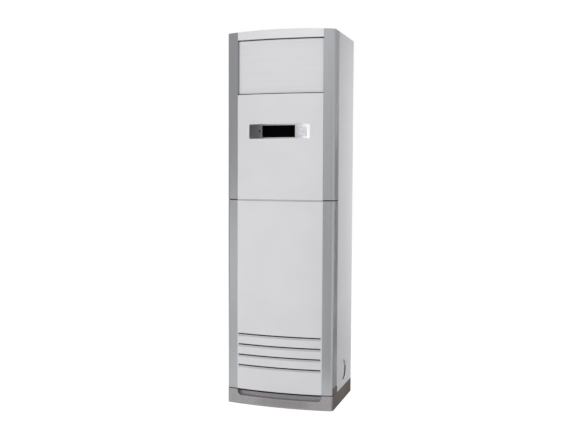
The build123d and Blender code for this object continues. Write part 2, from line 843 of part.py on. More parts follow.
def key_cap(index):
    """One oblong key with a retaining rim behind the bezel."""
    low = key_low_edge(index)
    high = low + key_height
    start = cap_back()
    shape = band_piece(0.1, start, key_left, key_right, low, high, 1.7)
    rim = band_piece(start, start + cap_flange_thickness, key_left - cap_flange, key_right + cap_flange,
                     low - 0.6, high + 0.6, 1.0)
    return shape + rim


# ================================================================ outlet door
def door_front_y(x):
    """Front surface of the door at a distance x from the middle."""
    return front_y + door_recess + door_bow_radius - sqrt(door_bow_radius**2 - x**2)


def door_plan(inset, half):
    """Door outline from above, from its bowed front to a flat plane behind."""
    side = door_front_y(half) + inset
    front = ThreePointArc((-half, side), (0, front_y + door_recess + inset), (half, side))
    rest = Polyline((half, side), (half, door_back_y), (-half, door_back_y), (-half, side))
    return make_face(front + rest)


def outlet_door():
    """Bowed sliding door with stiffening ribs and a runner at each side."""
    skin = tower(door_plan(0, door_half), door_low, door_high)
    skin -= tower(door_plan(door_wall, door_half - 2 * door_rib), door_low + door_rib,
                  door_high - door_rib)
    span = door_high - door_low
    ribs = [
        tower(door_plan(1, door_half - door_rib), z, z + door_rib)
        for z in (door_low + span / 3, door_low + 2 * span / 3)
    ]
    flange_y = guide_front_y + guide_wall + runner_fit
    web = block(runner_x, runner_x + runner_wall, door_front_y(runner_x) + 1,
                flange_y + runner_thickness, door_low, door_high)
    flange = block(runner_x, door_half, flange_y, flange_y + runner_thickness, door_low, door_high)
    runner = web + flange
    seat = block(rack_outside - gear_width - 2, rack_outside + 2, front_y, door_back_y, door_low,
                 door_high)
    seat &= tower(door_plan(1, door_half), door_low, door_high)
    return skin + ribs + runner + mirrored(runner) + seat + mirrored(seat)


def rack_profile():
    """Toothed side of a rack in the YZ plane, with a gap facing the shaft at rest."""
    back = door_back_y
    pitch = pi * gear_module
    root = rack_pitch_y - 1.25 * gear_module
    tip = rack_pitch_y + gear_module
    half_tip = pitch / 4 - gear_module * tan(radians(20)) - gear_backlash / 2
    half_root = pitch / 4 + 1.25 * gear_module * tan(radians(20)) - gear_backlash / 2
    first = -int((shaft_z - door_low) / pitch)
    last = int((door_high - shaft_z) / pitch)
    points = [(0, back, door_low), (0, root, door_low)]
    for step in range(first, last):
        z = shaft_z + (step + 0.5) * pitch
        if z - half_root > door_low and z + half_root < door_high:
            points.append((0, root, z - half_root))
            points.append((0, tip, z - half_tip))
            points.append((0, tip, z + half_tip))
            points.append((0, root, z + half_root))
    points += [(0, root, door_high), (0, back, door_high)]
    return make_face(Polyline(*points, close=True))


def door_racks():
    """Two toothed racks on the back of the door."""
    rack = extrude(rack_profile(), amount=gear_width, dir=(1, 0, 0))
    return pair(Pos(rack_outside - gear_width, 0, 0) * rack)


def involute(base, radius):
    """Polar angle of the involute of a base circle at a radius."""
    pressure = acos(base / radius)
    return tan(pressure) - pressure


def pinion_face():
    """Pinion outline with involute flanks, one tooth pointing at the rack."""
    base = pinion_radius * cos(radians(20))
    tip = pinion_radius + gear_module
    root = pinion_radius - 1.25 * gear_module
    half_pitch = (pi * gear_module / 2 - gear_backlash) / (2 * pinion_radius)
    start = half_pitch + involute(base, pinion_radius)
    flank = [(root, start)]
    for radius in (base, (base + pinion_radius) / 2, pinion_radius, (tip + pinion_radius) / 2, tip):
        flank.append((radius, start - involute(base, radius)))
    points = []
    for tooth in range(gear_teeth):
        middle = pi + 2 * pi * tooth / gear_teeth
        outline = [(r, middle - a) for r, a in flank] + [(r, middle + a) for r, a in reversed(flank)]
        points += [(0, shaft_y + r * cos(a), shaft_z + r * sin(a)) for r, a in outline]
    return make_face(Polyline(*points, close=True))


def pinion_shaft():
    """Cross shaft with a pinion for each rack and its driven end in the gear motor."""
    left = -panel_half + guide_wall
    right = panel_half + shell_wall + gearmotor_length * 0.6
    shaft = rod(door_shaft_radius, (left, shaft_y, shaft_z), (right, shaft_y, shaft_z))
    pinion = extrude(pinion_face(), amount=gear_width, dir=(1, 0, 0))
    place = rack_outside - gear_width
    return shaft + Pos(place, 0, 0) * pinion + Pos(-rack_outside, 0, 0) * pinion


def door_guides():
    """Two upright channels for the door's runners, each with a bearing ear for the shaft."""
    front = guide_front_y
    back = front + 2 * guide_wall + 2 * runner_fit + runner_thickness
    left = panel_half - guide_width
    channel = block(left, panel_half, front, back, guide_low, guide_high)
    slot = block(left - 1, panel_half - guide_wall, front + guide_wall, back - guide_wall,
                 guide_low - 1, guide_high + 1)
    ear = block(left, left + 4, back - guide_wall, shaft_y + 10, shaft_z - 10, shaft_z + 10)
    bore = rod(door_shaft_radius + running_fit, (left - 1, shaft_y, shaft_z),
               (left + 5, shaft_y, shaft_z))
    return pair(channel - slot + ear - bore + seal())


def seal():
    """Lip of the right guide that hides the edge of the door, with its web beside the door."""
    web_thickness = door_gap - 1
    front = door_front_y(door_half) - seal_gap - seal_thickness
    web = block(panel_half - web_thickness, panel_half, front, guide_front_y + 1, outlet_low, guide_high)
    lip = block(panel_half - seal_lip, panel_half, front, front + seal_thickness, outlet_low, guide_high)
    return web + lip


def door_motor():
    """Flat gear motor on the outside of the right post's inner return."""
    start = panel_half + shell_wall
    case = rod(gearmotor_radius, (start, shaft_y, shaft_z), (start + gearmotor_length, shaft_y, shaft_z))
    case = chamfer(case.edges().group_by(Axis.X)[-1], 2)
    bore = rod(door_shaft_radius + running_fit, (start - 1, shaft_y, shaft_z),
               (start + gearmotor_length * 0.7, shaft_y, shaft_z))
    return case - bore


# ================================================================ louvres and vanes
def louvre_z(index):
    """Height of a louvre's pivot."""
    middle = (frame_low + frame_high) / 2
    return middle + (index - (louvre_count - 1) / 2) * louvre_pitch


def vane_x(index):
    """Place of a vane's pivot."""
    return (index - (vane_count - 1) / 2) * vane_pitch


def outlet_frame():
    """Four-sided frame that carries the louvres and, behind them, the vanes."""
    frame = block(-frame_half, frame_half, frame_front_y, frame_back_y, frame_low, frame_high)
    frame -= block(-frame_inner, frame_inner, frame_front_y - 1, frame_back_y + 1,
                   frame_low + frame_wall, frame_high - frame_wall)
    bore = pivot_radius + running_fit
    for index in range(louvre_count):
        z = louvre_z(index)
        frame -= rod(bore, (-frame_half - 1, louvre_pivot_y, z), (frame_half + 1, louvre_pivot_y, z))
    for index in range(vane_count):
        x = vane_x(index)
        frame -= rod(bore, (x, vane_pivot_y, frame_low - 1), (x, vane_pivot_y, frame_high + 1))
    return frame


def blade_section(chord, thickness):
    """Slim leaf-shaped section along Y, centred on its pivot."""
    half = chord / 2
    upper = ThreePointArc((-half, 0.4), (0, thickness / 2), (half, 0.4))
    lower = ThreePointArc((half, -0.4), (0, -thickness / 2), (-half, -0.4))
    ends = Line((half, 0.4), (half, -0.4)) + Line((-half, -0.4), (-half, 0.4))
    return make_face(upper + lower + ends)


def louvre(index):
    """One level louvre with end pivots and a crank pin in a notch of its rear edge."""
    z = louvre_z(index)
    half = frame_inner - blade_end_gap
    plane = Plane(origin=(-half, louvre_pivot_y, z), x_dir=(0, 1, 0), z_dir=(1, 0, 0))
    body = extrude(plane * blade_section(louvre_chord, louvre_thickness), amount=2 * half)
    reach = frame_half - 0.5
    body += rod(pivot_radius, (-reach, louvre_pivot_y, z), (-half + 10, louvre_pivot_y, z))
    body += rod(pivot_radius, (half - 10, louvre_pivot_y, z), (reach, louvre_pivot_y, z))
    notch_half = link_thickness / 2 + notch_side_gap
    crank_y = louvre_pivot_y + louvre_crank
    body -= block(louvre_link_x - notch_half, louvre_link_x + notch_half, crank_y - 6, crank_y + 10,
                  z - 5, z + 5)
    body += rod(crank_radius, (louvre_link_x - notch_half - 3, crank_y, z),
                (louvre_link_x + notch_half + 3, crank_y, z))
    return body


def louvre_link():
    """Upright bar that ties the louvres' crank pins together."""
    crank_y = louvre_pivot_y + louvre_crank
    half = link_thickness / 2
    bar = block(louvre_link_x - half, louvre_link_x + half, crank_y - link_width / 2,
                crank_y + link_width / 2, louvre_z(0) - 5, louvre_z(louvre_count - 1) + 5)
    for index in range(louvre_count):
        gap = running_fit if index == 0 else open_pivot_gap
        z = louvre_z(index)
        bar -= rod(crank_radius + gap, (louvre_link_x - 9, crank_y, z), (louvre_link_x + 9, crank_y, z))
    return bar


def vane(index):
    """One upright vane with end pivots and a crank pin in a notch of its rear edge."""
    x = vane_x(index)
    low = frame_low + frame_wall + blade_end_gap
    high = frame_high - frame_wall - blade_end_gap
    plane = Plane(origin=(x, vane_pivot_y, low), x_dir=(0, 1, 0), z_dir=(0, 0, 1))
    body = extrude(plane * blade_section(vane_chord, vane_thickness), amount=high - low)
    body += rod(pivot_radius, (x, vane_pivot_y, frame_low + 0.5), (x, vane_pivot_y, low + 10))
    body += rod(pivot_radius, (x, vane_pivot_y, high - 10), (x, vane_pivot_y, frame_high - 0.5))
    crank_y = vane_pivot_y + vane_crank
    notch_half = link_thickness / 2 + notch_side_gap
    body -= block(x - 5, x + 5, crank_y - 6, crank_y + 10, vane_link_z - notch_half,
                  vane_link_z + notch_half)
    body += rod(crank_radius * 0.8, (x, crank_y, vane_link_z - notch_half - 3),
                (x, crank_y, vane_link_z + notch_half + 3))
    return body


def vane_link():
    """Level bar that ties the vanes' crank pins together."""
    crank_y = vane_pivot_y + vane_crank
    half = link_thickness / 2
    bar = block(vane_x(0) - 5, vane_x(vane_count - 1) + 5, crank_y - link_width / 2,
                crank_y + link_width / 2, vane_link_z - half, vane_link_z + half)
    for index in range(vane_count):
        gap = running_fit if index == 0 else open_pivot_gap
        x = vane_x(index)
        bar -= rod(crank_radius * 0.8 + gap, (x, crank_y, vane_link_z - 9), (x, crank_y, vane_link_z + 9))
    return bar


# ================================================================ blower
def scroll_region(inset, low_y, high_y):
    """Inside of the blower's scroll, drawn in by inset: growing spiral and upright outlet."""
    growth = scroll_end_radius - scroll_start_radius
    points = []
    for step in range(13):
        share = step / 12
        angle = radians(tongue_angle + share * (360 - tongue_angle))
        radius = scroll_start_radius + share * growth - inset
        points.append((blower_x + radius * cos(angle), 0, blower_z + radius * sin(angle)))
    centre = (blower_x, 0, blower_z)
    spiral = make_face(Spline(*points) + Polyline(points[-1], centre, points[0]))
    body = extrude(spiral, amount=high_y - low_y, dir=(0, 1, 0))
    body = Pos(0, low_y, 0) * body
    body += rod(scroll_start_radius - inset, (blower_x, low_y, blower_z), (blower_x, high_y, blower_z))
    body += block(tongue_x + inset, scroll_right_x - inset, low_y, high_y, blower_z, deck_z)
    return body


def volute_housing():
    """Scroll of the blower with its back plate and the cradle it stands on."""
    outer = scroll_region(0, scroll_front_y + scroll_wall, scroll_back_y)
    core = scroll_region(scroll_wall, scroll_front_y, scroll_back_y - scroll_wall)
    hole = rod(motor_opening, (blower_x, scroll_back_y - 5, blower_z),
               (blower_x, scroll_back_y + 5, blower_z))
    shell = outer - core - hole
    cradle = block(blower_x - cradle_half, blower_x + cradle_half, scroll_front_y + 20,
                   scroll_front_y + 23, pan_thickness, blower_z - cradle_height + 70)
    cradle += Pos(0, 110, 0) * cradle
    return shell + (cradle - outer)


def volute_front():
    """Front plate of the blower with a flared inlet ring."""
    plate = scroll_region(0, scroll_front_y, scroll_front_y + scroll_wall)
    flare = bell_radius + bell_flare
    plate -= rod(flare, (blower_x, scroll_front_y - 5, blower_z), (blower_x, scroll_front_y + 5, blower_z))
    lip = scroll_front_y + bell_flare
    inner = bell_flare - scroll_wall
    middle = bell_flare * (1 - cos(radians(45)))
    inner_middle = bell_flare - inner * cos(radians(45))
    path = ThreePointArc((bell_radius, lip, 0), (bell_radius + middle, scroll_front_y + middle, 0),
                         (flare, scroll_front_y, 0))
    path += Line((flare, scroll_front_y, 0), (flare, scroll_front_y + scroll_wall, 0))
    path += ThreePointArc((flare, scroll_front_y + scroll_wall, 0),
                          (bell_radius + inner_middle, scroll_front_y + inner_middle, 0),
                          (bell_radius + scroll_wall, lip, 0))
    path += Line((bell_radius + scroll_wall, lip, 0), (bell_radius, lip, 0))
    bell = revolve(make_face(path), Axis.Y)
    return plate + Pos(blower_x, 0, blower_z) * bell


def wheel_blade():
    """One forward-leaning blade of the blower wheel, seen along its axis."""
    lean = radians(blade_sweep)
    mid_radius = (wheel_radius + blade_inner_radius) / 2
    bulge = lean * 0.12
    half = blade_thickness / 2

    def spot(radius, angle, shift):
        turn = angle + shift / radius
        return (radius * cos(turn), radius * sin(turn))

    near = ThreePointArc(spot(blade_inner_radius, 0, -half), spot(mid_radius, bulge, -half),
                         spot(wheel_radius, lean, -half))
    far = ThreePointArc(spot(wheel_radius, lean, half), spot(mid_radius, bulge, half),
                        spot(blade_inner_radius, 0, half))
    ends = Line(near @ 1, far @ 0) + Line(far @ 1, near @ 0)
    return make_face(near + far + ends)


def fan_wheel():
    """Centrifugal wheel: many short blades between a back disc with hub and a front ring."""
    blade = extrude(wheel_blade(), amount=wheel_width, dir=(0, 0, 1))
    blades = [Rot(0, 0, 360 * index / blade_count) * blade for index in range(blade_count)]
    disc = extrude(Circle(wheel_radius), amount=wheel_plate)
    hub = extrude(Circle(wheel_hub_radius), amount=wheel_hub_length)
    ring = extrude(Circle(wheel_radius + 1.5) - Circle(wheel_radius - 8), amount=4)
    wheel = disc + hub + Pos(0, 0, wheel_width - 4) * ring + blades
    wheel -= extrude(Circle(motor_shaft_radius), amount=wheel_hub_length + 1)
    return Plane(origin=(blower_x, wheel_back_y, blower_z), x_dir=(1, 0, 0), z_dir=(0, -1, 0)) * wheel


def fan_shaft():
    """Motor shaft through the wheel's hub, with its end nut."""
    nut_y = wheel_back_y - wheel_hub_length
    shaft = rod(motor_shaft_radius, (blower_x, nut_y - 12, blower_z),
                (blower_x, motor_front_y + motor_length * 0.8, blower_z))
    nut_plane = Plane(origin=(blower_x, nut_y, blower_z), z_dir=(0, -1, 0))
    return shaft + extrude(nut_plane * RegularPolygon(10, 6), amount=8)


def fan_motor():
    """Blower motor with a finned case and a blind bore for its shaft."""
    start = (blower_x, motor_front_y, blower_z)
    case = rod(motor_radius, start, (blower_x, motor_front_y + motor_length, blower_z))
    case = fillet(case.edges().group_by(Axis.Y)[-1], 8)
    for place in range(5):
        y = motor_front_y + 18 + place * 11
        groove = rod(motor_radius + 1, (blower_x, y, blower_z), (blower_x, y + 4, blower_z))
        groove -= rod(motor_radius - 3, (blower_x, y - 1, blower_z), (blower_x, y + 5, blower_z))
        case -= groove
    bore = rod(motor_shaft_radius + running_fit, (blower_x, motor_front_y - 1, blower_z),
               (blower_x, motor_front_y + motor_length * 0.85, blower_z))
    return case - bore


def motor_bracket():
    """Dished plate that carries the motor on the back of the scroll."""
    plane = Plane(origin=(blower_x, scroll_back_y, blower_z), z_dir=(0, 1, 0))
    plate = extrude(plane * Circle(bracket_radius), amount=bracket_plate)
    window = extrude(plane * Pos(44, 0) * Circle(11), amount=bracket_plate)
    turn = Axis((blower_x, scroll_back_y, blower_z), (0, 1, 0))
    windows = [window.rotate(turn, 60 * index) for index in range(6)]
    hole = extrude(plane * Circle(22), amount=bracket_plate)
    return plate - windows - hole


# ================================================================ bulkhead and filter
def front_bulkhead():
    """Upright sheet behind the lower panel: round inlet, filter rails and filter shelf."""
    plate = block(-bulkhead_half, bulkhead_half, bulkhead_y, scroll_front_y, pan_thickness, bulkhead_top)
    plate -= rod(inlet_radius, (blower_x, bulkhead_y - 5, blower_z), (blower_x, scroll_front_y + 5, blower_z))
    outside = filter_half + fit_gap + rail_wall
    front = filter_front_y - fit_gap - rail_wall
    rear = filter_front_y + filter_thickness + fit_gap
    low = filter_low - rail_wall
    web = block(outside - rail_wall, outside, front, bulkhead_y, low, rail_top)
    lips = block(outside - 8, outside, front, front + rail_wall, low, rail_top)
    lips += block(outside - 8, outside, rear, rear + rail_wall, low, rail_top)
    rail = web + lips
    shelf = block(-outside, outside, front, bulkhead_y, low, filter_low)
    return plate + rail + mirrored(rail) + shelf


def filter_frame():
    """Filter frame with its grid of bars."""
    back = filter_front_y + filter_thickness
    frame = block(-filter_half, filter_half, filter_front_y, back, filter_low, filter_high)
    frame -= block(-filter_half + filter_border, filter_half - filter_border, filter_front_y - 1, back + 1,
                   filter_low + filter_border, filter_high - filter_border)
    inner_width = 2 * (filter_half - filter_border)
    inner_height = filter_high - filter_low - 2 * filter_border
    mid = filter_front_y + filter_thickness / 2
    for column in range(1, filter_columns):
        x = -inner_width / 2 + inner_width * column / filter_columns
        frame += block(x - filter_bar / 2, x + filter_bar / 2, filter_front_y, mid,
                       filter_low + filter_border, filter_high - filter_border)
    for row in range(1, filter_rows):
        z = filter_low + filter_border + inner_height * row / filter_rows
        frame += block(-inner_width / 2, inner_width / 2, filter_front_y, mid, z - filter_bar / 2,
                       z + filter_bar / 2)
    return frame


def filter_mesh():
    """Fine net stretched behind the bars of the filter frame."""
    near = filter_front_y + filter_thickness / 2
    edge = filter_half - filter_border
    return block(-edge, edge, near, near + 0.6, filter_low + filter_border, filter_high - filter_border)


# ================================================================ electrics
def control_box():
    """Sheet metal tray for the electrics, on the front of the bulkhead."""
    tray = block(-box_half, box_half, box_front_y, bulkhead_y, box_low, box_high)
    wall = sheet
    tray -= block(-box_half + wall, box_half - wall, box_front_y - 1, bulkhead_y - wall, box_low + wall,
                  box_high - wall)
    return tray


def control_cover():
    """Lid of the control box with a folded rim."""
    lap = sheet
    lid = block(-box_half - lap, box_half + lap, box_front_y - sheet, box_front_y + 12, box_low - lap,
                box_high + lap)
    lid -= block(-box_half, box_half, box_front_y, box_front_y + 13, box_low, box_high)
    return lid


def main_board():
    """Main board on four pillars, with its transformer, relays and capacitor."""
    floor = bulkhead_y - sheet
    near = floor - main_board_standoff
    left = main_board_left
    right = box_half - main_board_side_gap
    low = box_low + main_board_end_gap
    high = box_high - main_board_end_gap
    board = block(left, right, near - main_board_thickness, near, low, high)
    pillars = [
        rod(3, (x, near - 0.2, z), (x, floor, z))
        for x in (left + 10, right - 10)
        for z in (low + 10, high - 10)
    ]
    solder = near - board_seat
    start = left + transformer_inset
    transformer = block(start, start + transformer_width, box_front_y + transformer_room, solder,
                        low + transformer_inset, low + transformer_inset + transformer_height)
    start = left + relay_left
    relay = block(start, start + relay_width, solder - relay_depth, solder, low + relay_rise,
                  low + relay_rise + relay_height)
    start = left + processor_left
    processor = block(start, start + processor_width, solder - processor_depth, solder,
                      high - processor_drop, high - processor_drop + processor_height)
    middle = right - capacitor_inset
    capacitor = rod(capacitor_radius, (middle, solder, low + capacitor_rise),
                    (middle, box_front_y + capacitor_room, low + capacitor_rise))
    relays = relay + Pos(relay_pitch, 0, 0) * relay
    return board + pillars + transformer + relays + processor + capacitor


def terminal_block():
    """Row of screw terminals for the supply and outdoor unit wires."""
    floor = bulkhead_y - sheet
    front = floor - terminal_depth
    low = box_low + terminal_rise
    high = low + terminal_size
    middle = (low + high) / 2
    base = block(terminal_left, terminal_left + terminal_count * terminal_pitch, front, floor, low, high)
    for place in range(terminal_count):
        x = terminal_left + (place + 0.5) * terminal_pitch
        half = terminal_cell / 2
        base -= block(x - half, x + half, front - 1, floor - terminal_depth / 2, low + terminal_wall,
                      high - terminal_wall)
        base += rod(terminal_screw, (x, front + 7, middle), (x, floor - terminal_depth / 2 + 1, middle))
    return base


def control_electrics():
    """Main board and terminal block, side by side in the control box."""
    return Compound(children=[main_board(), terminal_block()])


# ================================================================ coil
def coil_point(along, across):
    """A point of the coil's section: along it from its low end, across it to the rear."""
    run_y, run_z = coil_run
    return (coil_low_y + along * run_y + across * run_z, coil_low_z + along * run_z - across * run_y)


def coil_plane(x):
    """Plane of the coil's section at x: local x across the coil, local y along it."""
    y, z = coil_point(0, 0)
    return Plane(origin=(x, y, z), x_dir=(0, coil_run[1], -coil_run[0]), z_dir=(1, 0, 0))


def coil_box(x0, x1, across0, across1, along0, along1):
    """A box laid along the inclined coil."""
    rectangle = Pos((across0 + across1) / 2, (along0 + along1) / 2) * Rectangle(
        across1 - across0, along1 - along0)
    return extrude(coil_plane(x0) * rectangle, amount=x1 - x0)


def coil_fins():
    """Finned block of the evaporator, grooved on both faces."""
    half = coil_thickness / 2
    pitch = 2 * coil_half / fin_grooves
    points = []
    for side in (-1, 1):
        for index in range(fin_grooves):
            start = side * (-coil_half + index * pitch)
            deep = side * (half - fin_groove_depth)
            points.append((start, side * half))
            points.append((start + side * (pitch - fin_groove), side * half))
            points.append((start + side * (pitch - fin_groove), deep))
            points.append((start + side * pitch, deep))
    y, z = coil_point(0, 0)
    plane = Plane(origin=(0, y, z), x_dir=(1, 0, 0), z_dir=(0, coil_run[0], coil_run[1]))
    return extrude(plane * make_face(Polyline(*points, close=True)), amount=coil_length)


def coil_end_plates():
    """Folded end plates of the coil, with a flange out to the liner on each side."""
    half = coil_thickness / 2
    plate = coil_box(coil_half, coil_half + scroll_wall, -half, half, 0, coil_length)
    flange = coil_box(coil_half, liner_x, -half - scroll_wall, -half, flange_start, coil_length)
    return pair(plate + flange)


def coil_bends():
    """Return bends that join the two tube rows at each end of the coil."""
    start = coil_half + scroll_wall
    across = (0, coil_run[1], -coil_run[0])
    along_axis = (0, coil_run[0], coil_run[1])
    bends = []
    for index in range(bend_count):
        along = coil_length / 2 + (index - (bend_count - 1) / 2) * bend_pitch
        section = Plane(origin=(start, *coil_point(along, -row_spacing / 2)), x_dir=across,
                        z_dir=(1, 0, 0)) * Circle(coil_tube_radius)
        axis = Axis(origin=(start, *coil_point(along, 0)), direction=along_axis)
        bends.append(revolve(section, axis, revolution_arc=180))
    return Compound(children=bends + [mirrored(bend) for bend in bends])


def tube(radius, bend, *points):
    """A round pipe along straight runs joined by tangent arcs."""
    path = FilletPolyline(*points, radius=bend)
    plane = Plane(origin=path @ 0, z_dir=path % 0)
    return sweep(plane * Circle(radius), path=path)


def gas_pipe():
    """Suction header beside the coil, its branches and the pipe down to the union."""
    top = coil_point(header_high, header_across)
    low = coil_point(header_low, header_across)
    pipe = tube(gas_tube_radius, 60, (header_x, *top), (header_x, *low),
                (header_x, low[0], union_low_gas + union_length))
    first = coil_length / 2 - (bend_count - 1) / 2 * bend_pitch + bend_pitch / 2
    for step in (2, 4, 6):
        place = coil_point(first + step * bend_pitch, header_across)
        pipe += rod(coil_tube_radius, (coil_half + scroll_wall, *place), (header_x, *place))
    return pipe


def liquid_pipe():
    """Liquid pipe from the coil's top down to the union."""
    y, z = coil_point(coil_length - liquid_end_inset, header_across)
    start = coil_half + scroll_wall
    return tube(coil_tube_radius, 14, (start, y, z), (header_x, y, z), (header_x, liquid_y, z),
                (header_x, liquid_y, union_low_liquid + union_length))


def union(y, low, thread_radius, hexagon_radius, thread_length):
    """Brass union on a pipe end: hexagon above, open threaded stub below."""
    plane = Plane(origin=(header_x, y, low), x_dir=(0, 1, 0), z_dir=(0, 0, 1))
    body = extrude(plane * RegularPolygon(hexagon_radius, 6), amount=union_length)
    body += rod(thread_radius, (header_x, y, low - thread_length), (header_x, y, low))
    return body - rod(thread_radius * 0.55, (header_x, y, low - thread_length - 1), (header_x, y, low + 5))


def flare_unions():
    """The two unions that the pipes to the outdoor unit are screwed on."""
    gas_y = coil_point(header_low, header_across)[0]
    gas = union(gas_y, union_low_gas, gas_thread_radius, gas_hexagon, gas_thread_length)
    liquid = union(liquid_y, union_low_liquid, liquid_thread_radius, liquid_hexagon, liquid_thread_length)
    return Compound(children=[gas, liquid])


# ================================================================ deck, pan and liners
def fan_deck():
    """Level plate over the blower, open at the scroll's outlet and round the pipes."""
    half = liner_outside
    front_half = side_x - panel_fold - seam
    plate = block(-half, half, liner_front_y, liner_back_y, deck_z, deck_z + sheet)
    plate += block(-front_half, front_half, scroll_front_y, liner_front_y + 1, deck_z, deck_z + sheet)
    plate -= block(tongue_x + scroll_wall, scroll_right_x - scroll_wall, scroll_front_y + scroll_wall,
                   scroll_back_y - scroll_wall, deck_z - 1, deck_z + 3)
    gas_y = coil_point(header_low, header_across)[0]
    for y, radius in ((gas_y, gas_tube_radius), (liquid_y, coil_tube_radius)):
        plate -= rod(radius + fit_gap, (header_x, y, deck_z - 1), (header_x, y, deck_z + 3))
    return plate


def drain_pan():
    """Tray under the coil's low end with its spout."""
    pan = block(-liner_x, liner_x, scroll_front_y, pan_back_y, pan_low, pan_high)
    pan -= block(-liner_x + pan_wall, liner_x - pan_wall, scroll_front_y + pan_wall, pan_back_y - pan_wall,
                 pan_low + pan_wall, pan_high + 1)
    x = liner_x - spout_inset
    y = scroll_front_y + spout_inset
    pan += rod(spout_radius, (x, y, pan_low - spout_length), (x, y, pan_low + 1))
    return pan - rod(spout_radius - 2, (x, y, pan_low - spout_length - 1), (x, y, pan_high))


def side_liners():
    """Foam blocks that line both sides of the coil chamber and carry the pan and coil."""
    low = deck_z + sheet
    liner = block(liner_x, liner_outside, liner_front_y, liner_back_y, low, panel_top - 5)
    return pair(liner)


def main():
    """Write every piece."""
    os.makedirs("parts", exist_ok=True)
    pieces = {
        "base_plinth": base_plinth(),
        "base_pan": base_pan(),
        "left_side_panel": mirrored(side_panel()),
        "right_side_panel": right_side_panel(),
        "knockout_plate": knockout_plate(),
        "rear_panel": rear_panel(),
        "panel_screws": panel_screws(),
        "top_cover": top_cover(),
        "top_bar": top_bar(),
        "upper_post_right": upper_post(),
        "upper_post_left": mirrored(upper_post()),
        "lower_post_right": lower_post(),
        "lower_post_left": mirrored(lower_post()),
        "lower_panel": lower_panel(),
        "display_panel": display_panel(),
        "mid_rail": mid_rail(),
        "display_bezel": display_bezel(),
        "display_window": display_window(),
        "display_board": display_board(),
        "power_button": power_button(),
        "outlet_door": outlet_door(),
        "door_racks": door_racks(),
        "door_guides": door_guides(),
        "pinion_shaft": pinion_shaft(),
        "door_motor": door_motor(),
        "outlet_frame": outlet_frame(),
        "louvre_link": louvre_link(),
        "vane_link": vane_link(),
        "volute_housing": volute_housing(),
        "volute_front": volute_front(),
        "fan_wheel": fan_wheel(),
        "fan_shaft": fan_shaft(),
        "fan_motor": fan_motor(),
        "motor_bracket": motor_bracket(),
        "front_bulkhead": front_bulkhead(),
        "filter_frame": filter_frame(),
        "filter_mesh": filter_mesh(),
        "control_box": control_box(),
        "control_cover": control_cover(),
        "control_electrics": control_electrics(),
        "coil_fins": coil_fins(),
        "coil_end_plates": coil_end_plates(),
        "coil_bends": coil_bends(),
        "refrigerant_pipes": Compound(children=[gas_pipe(), liquid_pipe()]),
        "flare_unions": flare_unions(),
        "fan_deck": fan_deck(),
        "drain_pan": drain_pan(),
        "side_liners": side_liners(),
    }
    for index, name in enumerate(key_names):
        pieces[name] = key_cap(index)
    for index in range(louvre_count):
        pieces["louvre_" + str(index + 1)] = louvre(index)
    for index in range(vane_count):
        pieces["vane_" + str(index + 1)] = vane(index)
    for name, shape in pieces.items():
        save(name, shape)


main()
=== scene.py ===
# %% [markdown]
# # A tall cabinet air conditioner
# The object is a floor standing indoor unit, as tall as a person: a bowed front in light
# plastic, silver corner posts, a display strip, four intake slots and a sliding door over
# the air outlet. Its solids come packed as a fixed frame, in metres, with +Z up and the
# front towards -Y. This lesson dresses that frame: camera, studio, finishes, softened
# covers, and then the fine pieces that plain solids leave out.
#
# The frame is loaded first. The dressed object must not outgrow it.

# %% Load the frame
import json
from math import cos, pi, radians, sin

import bmesh
import bpy
from mathutils import Matrix, Vector


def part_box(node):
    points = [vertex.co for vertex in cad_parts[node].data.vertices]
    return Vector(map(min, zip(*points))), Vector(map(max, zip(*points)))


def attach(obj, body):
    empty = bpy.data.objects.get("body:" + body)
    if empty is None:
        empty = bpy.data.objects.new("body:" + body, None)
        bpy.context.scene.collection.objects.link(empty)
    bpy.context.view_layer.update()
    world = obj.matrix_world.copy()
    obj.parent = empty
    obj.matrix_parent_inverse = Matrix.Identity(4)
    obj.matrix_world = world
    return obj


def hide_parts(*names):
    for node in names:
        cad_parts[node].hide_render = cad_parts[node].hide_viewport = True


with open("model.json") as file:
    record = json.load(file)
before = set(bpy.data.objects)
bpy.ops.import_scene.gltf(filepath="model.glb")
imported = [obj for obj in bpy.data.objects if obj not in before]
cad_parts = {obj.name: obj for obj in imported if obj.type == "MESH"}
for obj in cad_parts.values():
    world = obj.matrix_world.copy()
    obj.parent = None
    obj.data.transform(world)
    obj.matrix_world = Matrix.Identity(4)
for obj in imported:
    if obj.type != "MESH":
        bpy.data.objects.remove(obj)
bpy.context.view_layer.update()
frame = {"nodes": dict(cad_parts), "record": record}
nodes = frame["nodes"]
record = frame["record"]
bodies_by_node = {node: body for body, held in record["behaviour"]["bodies"].items() for node in held}
slots_by_node = {part["node"]: part["material_slot"] for part in record["subparts"]}

# %% [markdown]
# ## The camera
# The photograph was taken from the right, a little above the middle of the cabinet. The
# place and the three angles below come from fitting the cabinet's real edges to the
# picture. A camera in Blender looks along its own -Z, so its matrix is built from three
# directions: right, up, and the opposite of ahead.

# %% Camera
photo_width = 580
focal_pixels = 800.69
sensor_width = 36.0
eye = Vector((1.19081, -3.85793, 1.15299))
yaw = 0.3006
pitch = -0.0581
roll = 0.00472244

world_up = Vector((0, 0, 1))
level_right = Vector((cos(yaw), sin(yaw), 0))
level_ahead = Vector((-sin(yaw), cos(yaw), 0))
ahead = cos(pitch) * level_ahead + sin(pitch) * world_up
above = cos(pitch) * world_up - sin(pitch) * level_ahead
right = cos(roll) * level_right + sin(roll) * above
up = cos(roll) * above - sin(roll) * level_right


def add_object(name, data):
    """Put a new object into the scene, at the origin."""
    piece = bpy.data.objects.new(name, data)
    bpy.context.scene.collection.objects.link(piece)
    return piece


